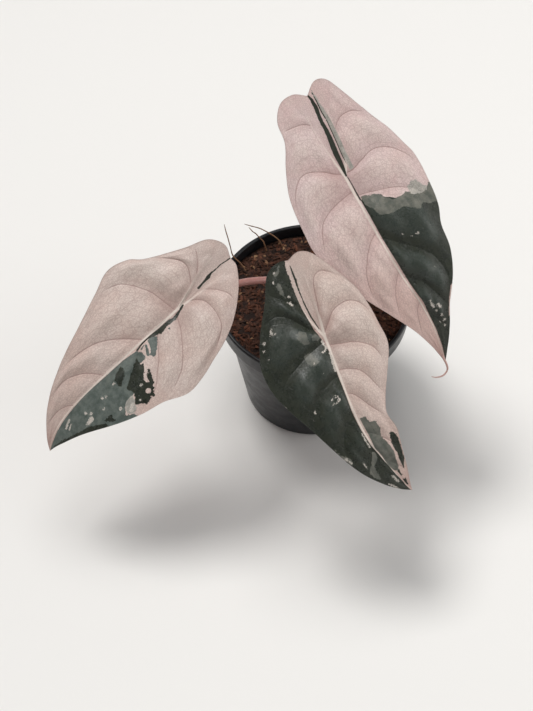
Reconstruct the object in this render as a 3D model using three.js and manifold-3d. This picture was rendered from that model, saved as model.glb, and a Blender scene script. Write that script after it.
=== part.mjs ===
// A young alocasia with three shield-shaped leaves, growing in a round black nursery pot.
// Millimetres, +Z up. The origin is the middle of the pot's foot, on the surface that it stands on.

import * as THREE from "three";
import { mergeVertices } from "three/addons/utils/BufferGeometryUtils.js";
import Module from "manifold-3d";

const wasm = await Module();
wasm.setup();

// Driving dimensions. Lengths are in millimetres and angles in degrees.

const GAP = 0.3;

const POT = {
  height: 88,
  rimRadius: 60,
  collarHeight: 14,
  collarFootRadius: 58.8,
  wallTopRadius: 54.3,
  footRadius: 42,
  wall: 1.3,
  rimWidth: 2.6,
  floorTop: 3.6,
  recessRise: 2.4,
  recessInner: 14,
  recessOuter: 37,
  holeCount: 8,
  holeRadius: 4.2,
  holeCircle: 26,
  facets: 48,
};

const SOIL = {
  middle: 82,
  edgeDrop: 2,
  wallGap: 0.45,
};

const CORM = {
  bottom: 71,
  top: 86,
  topRadius: 8.4,
  waistRadius: 9.3,
  waistHeight: 79,
  tipRadius: 5.6,
};

const BLADE = {
  thickness: 0.8,
  ribDepth: 1.5,
  ribHalfWidth: 1.6,
  ringCount: 8,
  marginSteps: 24,
  turnBlend: 6,
  droopPower: 1.5,
  curlSpan: 50,
};

const STALK = {
  footRadius: 3.4,
  midRadius: 2.35,
  topRadius: 2.0,
  steps: 18,
  sides: 12,
};

// Each blade is drawn flat first, as pairs [s, t]. s runs along the midrib from the point where the stalk
// joins, towards the tip, and t runs to the left of it. Both margins go from the notch to the tip.
// droop and rear bend the midrib down ahead of the joint and behind it, the turns and the sweep bend it
// sideways, fold lifts each half from the midrib, and curl rolls it down again over each 50 mm of width.
const LEAVES = {
  left: {
    stalkPath: [
      [-4.4, 0.4, 84], [-7.2, -1, 97], [-16, -5.5, 109], [-28.9, -12, 117.5],
      [-44.6, -22.5, 126.5], [-61, -37.5, 133.5], [-78, -52, 138],
    ],
    junction: [-78, -52, 138],
    heading: -142,
    dip: 34.7,
    roll: -20,
    reach: 118,
    droop: 30,
    rear: 10,
    turnRear: -1.5,
    turnFront: -7,
    sweep: 43,
    sweepPower: 5,
    foldLeft: 16,
    foldRight: 8,
    curlLeft: 28,
    curlRight: 6,
    marginLeft: [
      [-42, 0], [-41, 7], [-32, 18], [-17, 29], [0, 36], [13, 41], [26, 43], [40, 38],
      [55, 35], [72, 29], [90, 20], [107, 10], [118, 0],
    ],
    marginRight: [
      [-42, 0], [-45, -8], [-40, -17], [-27, -23], [-12, -31], [4, -40], [18, -43], [32, -37],
      [50, -29], [70, -21], [88, -13], [105, -5], [118, 0],
    ],
    colour: "#b9a39c",
  },
  rear: {
    stalkPath: [
      [2.3, 4, 84], [3.2, 6.5, 104], [6, 10.5, 132], [10.5, 11.5, 160],
      [14.5, 8, 182], [16, 1, 196],
    ],
    junction: [16, 1, 196],
    heading: -45,
    dip: 45,
    roll: 18,
    reach: 126,
    droop: 30,
    rear: 8,
    turnRear: -6,
    turnFront: -3,
    sweep: 6,
    sweepPower: 1,
    foldLeft: 4,
    foldRight: 10,
    curlLeft: 24,
    curlRight: 14,
    marginLeft: [
      [-51, 0], [-57, 7], [-55, 14], [-45, 20], [-28, 29], [-12, 38], [6, 44], [24, 44],
      [40, 42], [52, 37], [66, 35], [80, 29], [95, 19], [110, 11], [120, 4.5], [127, 0],
    ],
    marginRight: [
      [-51, 0], [-55, -8], [-53, -17], [-44, -23], [-32, -24], [-18, -30], [-3, -35], [15, -37],
      [30, -37], [47, -31], [64, -25], [81, -16], [97, -8], [112, -3], [127, 0],
    ],
    dripTip: {
      start: 124,
      path: [[0, 0, 0], [4, 0, -0.4], [7.5, -1, -1.2], [9.5, -4.5, -2.4], [8.5, -8.5, -3], [6.5, -11, -3.2]],
      radius: 0.7,
      tipRadius: 0.35,
    },
    colour: "#b98f8c",
  },
  front: {
    stalkPath: [
      [2.1, -4, 84], [3, -8.5, 98], [4.6, -22, 113], [5.8, -42, 127],
      [6.6, -62, 140], [7, -79, 150],
    ],
    junction: [7, -79, 150],
    heading: -47,
    dip: 40.4,
    roll: 14,
    reach: 107,
    droop: 30,
    rear: 12,
    turnRear: -6.5,
    turnFront: -11,
    sweep: 45,
    sweepPower: 3,
    foldLeft: 8,
    foldRight: 4,
    curlLeft: 34,
    curlRight: 24,
    marginLeft: [
      [-48, 0], [-50, 7], [-46, 14], [-33, 22], [-16, 30], [2, 33], [16, 34], [30, 28],
      [42, 22], [54, 16.5], [66, 17.5], [80, 14], [94, 8.5], [106, 0],
    ],
    marginRight: [
      [-48, 0], [-49, -7], [-45, -15], [-31, -23], [-16, -33], [0, -40], [16, -40], [30, -35],
      [45, -27], [58, -21], [75, -14], [90, -7], [106, 0],
    ],
    colour: "#3c4a40",
  },
};

// Slivers of the old sheaths that stand round the corm, by the bearing of their middle
const HUSKS = {
  height: 21,
  footHeight: 82.1,
  footRadius: 9.8,
  topRadius: 12.5,
  halfAngle: 36,
  thickness: 0.7,
  bearings: { husk_left: 128, husk_right: -14 },
};

// Loose coir strands that lean out over the rim
const STRANDS = {
  radius: 0.5,
  tipRadius: 0.3,
  steps: 14,
  sides: 8,
  paths: {
    coir_strand_1: [
      [-43, 25, 80.95], [-46.3, 27, 86], [-51.2, 30, 90], [-52.9, 32.3, 96],
      [-54.9, 36.1, 102], [-56.8, 39.9, 108],
    ],
    coir_strand_2: [
      [-20.2, 45.2, 80.95], [-23.2, 47, 86], [-28, 48.6, 89.4], [-33.3, 51, 91],
      [-39.5, 52.4, 92], [-45.2, 53.9, 92.5],
    ],
    coir_strand_3: [
      [-30.5, 42, 80.8], [-32.6, 44.2, 87], [-36.5, 46.8, 90.2], [-39.5, 48.5, 91.8],
      [-42, 50.7, 93],
    ],
  },
};

const radians = THREE.MathUtils.degToRad;

function smoothstep(x) {
  const k = Math.min(Math.max(x, 0), 1);
  return k * k * (3 - 2 * k);
}

// Closed solids from triangles and back, for joins and cuts

function toSolid(geometry) {
  const plain = geometry.clone();
  plain.deleteAttribute("normal");
  plain.deleteAttribute("uv");
  const merged = mergeVertices(plain, 1e-4);
  return new wasm.Manifold(new wasm.Mesh({
    numProp: 3,
    vertProperties: new Float32Array(merged.attributes.position.array),
    triVerts: new Uint32Array(merged.index.array),
  }));
}

function toGeometry(solid) {
  const mesh = solid.getMesh();
  const geometry = new THREE.BufferGeometry();
  geometry.setAttribute("position", new THREE.BufferAttribute(mesh.vertProperties, 3));
  geometry.setIndex(new THREE.BufferAttribute(mesh.triVerts, 1));
  geometry.computeVertexNormals();
  return geometry;
}

function meshFrom(points, triangles) {
  const geometry = new THREE.BufferGeometry();
  geometry.setAttribute("position", new THREE.Float32BufferAttribute(points.flat(), 3));
  geometry.setIndex(triangles.flat());
  geometry.computeVertexNormals();
  return geometry;
}

// A profile of [radius, height] pairs turned about the vertical axis
function turned(profile) {
  const points = profile.map(([radius, height]) => new THREE.Vector2(radius, height));
  return new THREE.LatheGeometry(points, POT.facets).rotateX(Math.PI / 2);
}

// A round tube along a curve, closed at both ends, whose radius follows radiusAt(0 to 1)
function taperedTube(path, steps, sides, radiusAt) {
  const curve = new THREE.CatmullRomCurve3(path.map((p) => new THREE.Vector3(...p)), false, "centripetal");
  const { normals, binormals } = curve.computeFrenetFrames(steps);
  const points = [];
  const triangles = [];
  for (let i = 0; i <= steps; i++) {
    const middle = curve.getPointAt(i / steps);
    for (let j = 0; j < sides; j++) {
      const angle = (2 * Math.PI * j) / sides;
      const outward = normals[i].clone().multiplyScalar(Math.cos(angle));
      outward.addScaledVector(binormals[i], Math.sin(angle));
      points.push(middle.clone().addScaledVector(outward, radiusAt(i / steps)).toArray());
    }
  }
  const first = points.push(curve.getPointAt(0).toArray()) - 1;
  const last = points.push(curve.getPointAt(1).toArray()) - 1;
  for (let j = 0; j < sides; j++) {
    const k = (j + 1) % sides;
    for (let i = 0; i < steps; i++) {
      const [a, b] = [i * sides, (i + 1) * sides];
      triangles.push([a + j, a + k, b + k], [a + j, b + k, b + j]);
    }
    triangles.push([first, k, j], [last, steps * sides + j, steps * sides + k]);
  }
  return meshFrom(points, triangles);
}

// The pot is one thin moulding: a tapered wall, a straight collar below the rim, and a floor whose
// raised ring holds the drainage holes, so that it stands on its middle and on its outer foot.

function wallRadius(height) {
  const collarFoot = POT.height - POT.collarHeight;
  return THREE.MathUtils.mapLinear(height, 0, collarFoot, POT.footRadius, POT.wallTopRadius);
}

function potGeometry() {
  const { height, rimRadius, collarHeight, collarFootRadius, wall, rimWidth, floorTop } = POT;
  const collarFoot = height - collarHeight;
  const profile = [
    [0, 0],
    [POT.recessInner, 0],
    [POT.recessInner + 1.5, POT.recessRise],
    [POT.recessOuter, POT.recessRise],
    [POT.recessOuter + 1.5, 0],
    [POT.footRadius - 0.8, 0],
    [POT.footRadius, 0.8],
    [POT.wallTopRadius, collarFoot],
    [collarFootRadius - 0.5, collarFoot + 0.4],
    [collarFootRadius, collarFoot + 1],
    [rimRadius, height - 1.2],
    [rimRadius - 0.4, height - 0.3],
    [rimRadius - 1.2, height],
    [rimRadius - rimWidth + 0.4, height],
    [rimRadius - rimWidth, height - 0.5],
    [collarFootRadius - wall, collarFoot + 3],
    [collarFootRadius - wall - 0.8, collarFoot + 2],
    [POT.wallTopRadius - wall, collarFoot + 1.4],
    [wallRadius(floorTop) - wall, floorTop],
    [0, floorTop],
  ];
  let solid = toSolid(turned(profile));
  const drill = new THREE.CylinderGeometry(POT.holeRadius, POT.holeRadius, 4 * floorTop, 12);
  drill.rotateX(Math.PI / 2);
  for (let i = 0; i < POT.holeCount; i++) {
    const bearing = (2 * Math.PI * (i + 0.5)) / POT.holeCount;
    const x = POT.holeCircle * Math.cos(bearing);
    const y = POT.holeCircle * Math.sin(bearing);
    solid = solid.subtract(toSolid(drill.clone().translate(x, y, 0)));
  }
  return toGeometry(solid);
}

// The potting mix fills the pot to just below the rim and holds the corm in a socket.

function soilTop(radius) {
  return SOIL.middle - SOIL.edgeDrop * (radius / POT.wallTopRadius) ** 2;
}

function soilGeometry() {
  const collarFoot = POT.height - POT.collarHeight;
  const bottom = POT.floorTop + GAP;
  const inset = POT.wall + SOIL.wallGap;
  const edge = POT.collarFootRadius - inset;
  const socket = cormProfile(GAP + 0.05);
  const mouth = socket.find(([, height]) => height > CORM.waistHeight)[0];
  const profile = [
    [0, bottom],
    [wallRadius(bottom) - inset, bottom],
    [POT.wallTopRadius - inset, collarFoot],
    [POT.wallTopRadius - inset, collarFoot + 2],
    [edge - 0.8, collarFoot + 3],
    [edge, collarFoot + 4],
    ...[edge, 44, 31, 20].map((radius) => [radius, soilTop(radius)]),
    [mouth + 2, SOIL.middle],
    [CORM.waistRadius + GAP + 0.1, SOIL.middle - 0.6],
    ...socket.filter(([, height]) => height <= CORM.waistHeight).reverse(),
  ];
  return turned(profile);
}

// The corm is a stubby rounded stem base. The stalks stand on its top.

function cormProfile(clearance) {
  return [
    [0, CORM.bottom - clearance],
    [CORM.tipRadius + 0.5 * clearance, CORM.bottom + 0.8 - clearance],
    [CORM.waistRadius - 1.2 + clearance, CORM.bottom + 3.6],
    [CORM.waistRadius + clearance, CORM.waistHeight],
    [CORM.topRadius + 0.5 + clearance, CORM.top - 1.2],
  ];
}

function cormGeometry() {
  return turned([...cormProfile(0), [CORM.topRadius, CORM.top], [0, CORM.top]]);
}

// The midrib as a curve in the blade's own axes: ahead, left and up of the joint with the stalk.
// It is the sum of short straight steps whose pitch and yaw change along it.

function midribAt(leaf, s) {
  const steps = 60;
  const place = new THREE.Vector3();
  const direction = new THREE.Vector3();
  let pitch = 0;
  let yaw = 0;
  const aim = (at) => {
    const ahead = Math.max(at / leaf.reach, 0);
    const behind = Math.max(-at / leaf.reach, 0);
    const blend = smoothstep((at + BLADE.turnBlend) / (2 * BLADE.turnBlend));
    pitch = radians(leaf.droop * (ahead ** BLADE.droopPower - 0.4) + leaf.rear * behind);
    yaw = radians(THREE.MathUtils.lerp(leaf.turnRear, leaf.turnFront, blend));
    yaw += radians(leaf.sweep * ahead ** leaf.sweepPower);
    direction.set(Math.cos(pitch) * Math.cos(yaw), Math.cos(pitch) * Math.sin(yaw), -Math.sin(pitch));
  };
  for (let i = 0; i < steps; i++) {
    aim((s * (i + 0.5)) / steps);
    place.addScaledVector(direction, s / steps);
  }
  aim(s);
  return { place, pitch, yaw };
}

// A point of the blade, from its flat place [s, t] and its depth below the upper face.
// Across the midrib each half is an arc that leaves it at the fold angle and bends down again.

function bladePoint(leaf, s, t, depth) {
  const { place, pitch, yaw } = midribAt(leaf, s);
  const across = new THREE.Vector3(-Math.sin(yaw), Math.cos(yaw), 0);
  const up = new THREE.Vector3(Math.sin(pitch) * Math.cos(yaw), Math.sin(pitch) * Math.sin(yaw), Math.cos(pitch));
  const side = t < 0 ? -1 : 1;
  const fold = radians(side < 0 ? leaf.foldRight : leaf.foldLeft);
  const bend = radians(side < 0 ? leaf.curlRight : leaf.curlLeft) / BLADE.curlSpan;
  const slope = fold - bend * Math.abs(t);
  const out = (Math.sin(fold) - Math.sin(slope)) / bend + depth * Math.sin(slope);
  const rise = (Math.cos(slope) - Math.cos(fold)) / bend - depth * Math.cos(slope);
  return place.addScaledVector(across, side * out).addScaledVector(up, rise);
}

// The turn that takes the blade's own axes to the plant's
function bladeMatrix(leaf) {
  const turn = new THREE.Matrix4().makeRotationZ(radians(leaf.heading));
  turn.multiply(new THREE.Matrix4().makeRotationY(radians(leaf.dip)));
  turn.multiply(new THREE.Matrix4().makeRotationX(radians(leaf.roll)));
  return turn.setPosition(...leaf.junction);
}

// The margin as one ring of flat places, from the tip round the left half, the notch and the right half
function marginRing(leaf) {
  const along = (pairs) => new THREE.SplineCurve(pairs.map(([s, t]) => new THREE.Vector2(s, t)))
    .getSpacedPoints(BLADE.marginSteps);
  const left = along(leaf.marginLeft).reverse();
  const right = along(leaf.marginRight);
  return [...left.slice(0, -1), ...right.slice(0, -1)];
}

// Two sheets of spokes and rings about the joint, closed along the margin. The lower sheet is deeper at
// the midrib. above and below swell the blade by a clearance, for trimming the stalk to it.

function bladeGeometry(leaf, above = 0, below = 0) {
  const ring = marginRing(leaf);
  const spokes = ring.length;
  const points = [];
  const triangles = [];
  const sheets = [0, 1].map((lower) => {
    const start = points.length;
    for (let j = 0; j <= BLADE.ringCount; j++) {
      const scale = j / BLADE.ringCount;
      for (const margin of j ? ring : ring.slice(0, 1)) {
        const [s, t] = [margin.x * scale, margin.y * scale];
        const fade = Math.max(0, 1 - Math.abs(s) / leaf.reach);
        const rib = BLADE.ribDepth * fade * Math.exp(-((t / BLADE.ribHalfWidth) ** 2));
        const depth = lower ? BLADE.thickness + rib + below : -above;
        points.push(bladePoint(leaf, s, t, depth).toArray());
      }
    }
    return (j, i) => (j ? start + 1 + (j - 1) * spokes + (i % spokes) : start);
  });
  const [upper, lower] = sheets;
  for (let i = 0; i < spokes; i++) {
    triangles.push([upper(0, 0), upper(1, i), upper(1, i + 1)], [lower(0, 0), lower(1, i + 1), lower(1, i)]);
    for (let j = 1; j < BLADE.ringCount; j++) {
      triangles.push([upper(j, i), upper(j + 1, i), upper(j + 1, i + 1)]);
      triangles.push([upper(j, i), upper(j + 1, i + 1), upper(j, i + 1)]);
      triangles.push([lower(j, i), lower(j + 1, i + 1), lower(j + 1, i)]);
      triangles.push([lower(j, i), lower(j, i + 1), lower(j + 1, i + 1)]);
    }
    const rim = BLADE.ringCount;
    triangles.push([upper(rim, i), lower(rim, i), lower(rim, i + 1)]);
    triangles.push([upper(rim, i), lower(rim, i + 1), upper(rim, i + 1)]);
  }
  return meshFrom(points, triangles).applyMatrix4(bladeMatrix(leaf));
}

// The drip tip is a fine tail on the end of the blade, curled to one side
function leafGeometry(leaf) {
  const blade = bladeGeometry(leaf);
  if (!leaf.dripTip) {
    return blade;
  }
  const { start, path, radius, tipRadius } = leaf.dripTip;
  const root = bladePoint(leaf, start, 0, 0.5 * BLADE.thickness);
  const world = path.map((offset) => new THREE.Vector3(...offset).add(root)
    .applyMatrix4(bladeMatrix(leaf)).toArray());
  const tail = taperedTube(world, 12, 8, (k) => THREE.MathUtils.lerp(radius, tipRadius, k));
  return toGeometry(toSolid(blade).add(toSolid(tail)));
}

// A stalk swells to a sheath at its foot. It is trimmed flat above the corm, and its upper end is trimmed
// to the underside of its blade.

function stalkGeometry(leaf) {
  const radiusAt = (k) => {
    const sheath = (STALK.footRadius - STALK.midRadius) * (1 - smoothstep(k / 0.35));
    return THREE.MathUtils.lerp(STALK.midRadius, STALK.topRadius, k) + sheath;
  };
  const stalk = taperedTube(leaf.stalkPath, STALK.steps, STALK.sides, radiusAt);
  const room = 2 * POT.rimRadius;
  const aboveCorm = new THREE.BoxGeometry(2 * room, 2 * room, 2 * room).translate(0, 0, CORM.top + GAP + room);
  const bladeWithRoom = bladeGeometry(leaf, 3 * STALK.topRadius, GAP);
  return toGeometry(toSolid(stalk).intersect(toSolid(aboveCorm)).subtract(toSolid(bladeWithRoom)));
}

// A husk is a pointed shell that follows the corm round and leans away from it.

function huskGeometry(bearing) {
  const rows = 7;
  const columns = 8;
  const points = [];
  const triangles = [];
  const corner = (layer, i, j) => (layer * (rows + 1) + i) * (columns + 1) + j;
  for (const layer of [0, 1]) {
    for (let i = 0; i <= rows; i++) {
      const k = i / rows;
      const half = radians(HUSKS.halfAngle) * (1 - 0.93 * k ** 1.8);
      const radius = THREE.MathUtils.lerp(HUSKS.footRadius, HUSKS.topRadius, k ** 1.5);
      for (let j = 0; j <= columns; j++) {
        const angle = radians(bearing) + half * ((2 * j) / columns - 1);
        const r = radius + (layer ? HUSKS.thickness : 0);
        points.push([r * Math.cos(angle), r * Math.sin(angle), HUSKS.footHeight + HUSKS.height * k]);
      }
    }
  }
  const quad = (a, b, c, d) => triangles.push([a, b, c], [a, c, d]);
  for (let i = 0; i < rows; i++) {
    for (let j = 0; j < columns; j++) {
      quad(corner(1, i, j), corner(1, i, j + 1), corner(1, i + 1, j + 1), corner(1, i + 1, j));
      quad(corner(0, i, j), corner(0, i + 1, j), corner(0, i + 1, j + 1), corner(0, i, j + 1));
    }
    quad(corner(0, i, 0), corner(1, i, 0), corner(1, i + 1, 0), corner(0, i + 1, 0));
    quad(corner(1, i, columns), corner(0, i, columns), corner(0, i + 1, columns), corner(1, i + 1, columns));
  }
  for (let j = 0; j < columns; j++) {
    quad(corner(0, 0, j), corner(0, 0, j + 1), corner(1, 0, j + 1), corner(1, 0, j));
    quad(corner(1, rows, j), corner(1, rows, j + 1), corner(0, rows, j + 1), corner(0, rows, j));
  }
  return meshFrom(points, triangles);
}

function strandGeometry(path) {
  const radiusAt = (k) => THREE.MathUtils.lerp(STRANDS.radius, STRANDS.tipRadius, k);
  return taperedTube(path, STRANDS.steps, STRANDS.sides, radiusAt);
}

const MATERIALS = {
  pot: { color: "#0d0e10", roughness: 0.35, metalness: 0 },
  soil: { color: "#2e1810", roughness: 0.95, metalness: 0 },
  corm: { color: "#4a2f22", roughness: 0.9, metalness: 0 },
  stalk: { color: "#8a5550", roughness: 0.5, metalness: 0 },
  husk: { color: "#7a5a3c", roughness: 0.85, metalness: 0 },
  strand: { color: "#5b4030", roughness: 0.9, metalness: 0 },
};

const plant = new THREE.Group();

function add(name, geometry, material) {
  const mesh = new THREE.Mesh(geometry, new THREE.MeshStandardMaterial({ ...material, flatShading: true }));
  mesh.name = name;
  plant.add(mesh);
}

add("pot", potGeometry(), MATERIALS.pot);
add("potting_mix", soilGeometry(), MATERIALS.soil);
add("corm", cormGeometry(), MATERIALS.corm);
for (const [side, leaf] of Object.entries(LEAVES)) {
  add(`stalk_${side}`, stalkGeometry(leaf), MATERIALS.stalk);
  add(`blade_${side}`, leafGeometry(leaf), { color: leaf.colour, roughness: 0.45, metalness: 0 });
}
for (const [name, bearing] of Object.entries(HUSKS.bearings)) {
  add(name, huskGeometry(bearing), MATERIALS.husk);
}
for (const [name, path] of Object.entries(STRANDS.paths)) {
  add(name, strandGeometry(path), MATERIALS.strand);
}

export default plant;
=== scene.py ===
"""Looks of a potted alocasia: three large variegated leaves on pink stalks in a black nursery pot.

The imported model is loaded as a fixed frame, in metres. Sizes of the plant's own parts are written in
millimetres and turned to metres where a mesh is made. Leaf outlines, veins and colour zones are drawn
flat, as (s, t): s runs ahead along the midrib from the joint with the stalk, and t runs to its left.
"""

import math

import bpy
import numpy as np
from bpy.props import FloatProperty, FloatVectorProperty, IntProperty, PointerProperty
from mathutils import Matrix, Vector


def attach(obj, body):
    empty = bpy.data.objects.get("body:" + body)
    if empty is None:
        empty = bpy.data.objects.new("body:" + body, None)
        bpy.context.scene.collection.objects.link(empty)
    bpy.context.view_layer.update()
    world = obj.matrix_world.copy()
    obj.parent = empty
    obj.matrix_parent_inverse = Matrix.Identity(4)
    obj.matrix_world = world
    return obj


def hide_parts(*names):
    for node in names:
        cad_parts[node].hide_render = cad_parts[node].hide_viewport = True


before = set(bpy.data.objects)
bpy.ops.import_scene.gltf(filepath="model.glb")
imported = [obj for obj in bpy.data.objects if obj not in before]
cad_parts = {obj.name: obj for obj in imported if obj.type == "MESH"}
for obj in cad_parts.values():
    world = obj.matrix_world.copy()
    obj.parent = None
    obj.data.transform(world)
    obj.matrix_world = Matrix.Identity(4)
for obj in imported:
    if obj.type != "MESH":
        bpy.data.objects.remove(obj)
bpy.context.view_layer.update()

bl_info = {
    "name": "Potted Alocasia",
    "version": (1, 0, 0),
    "blender": (4, 5, 0),
    "location": "View3D > Sidebar > Alocasia",
    "description": "Builds the looks of a potted variegated alocasia round its CAD frame",
    "category": "Add Mesh",
}

MM = 0.001

# The pot and the mix in it, as they stand in the frame (mm)
POT_TOP = 88.0
RIM_RADIUS = 60.0
WALL_TOP_RADIUS = 54.3
FOOT_RADIUS = 42.0
COLLAR_FOOT = 74.0
FLOOR_TOP = 3.6
WALL = 1.3
HOLES = 8
HOLE_RADIUS = 4.2
HOLE_CIRCLE = 26.0
CREASE = 40
MIX_MIDDLE = 82.0
MIX_DROP = 2.0
MIX_EDGE = 57.0
MIX_BOTTOM = 3.9
CORM_BOTTOM = 71.0

# The leaves' relief (mm), and how far their lobes reach back from the joint
LOBE_REACH = 45
CURL_WIDTH = 50
GROOVE_DEPTH, GROOVE_WIDTH = 0.16, 0.4
RIDGE, RIDGE_LOSS_ON_LOBE = 0.42, 0.2
QUILTING = 1.25
WAVINESS = 0.14
RIB_BELOW, VEIN_BELOW = 1.5, 0.6
ROUND_EDGE = 0.12

# Samples along the drawn lines
OUTLINE_COUNT, VEIN_COUNT, RIB_COUNT = 400, 200, 80

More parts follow.
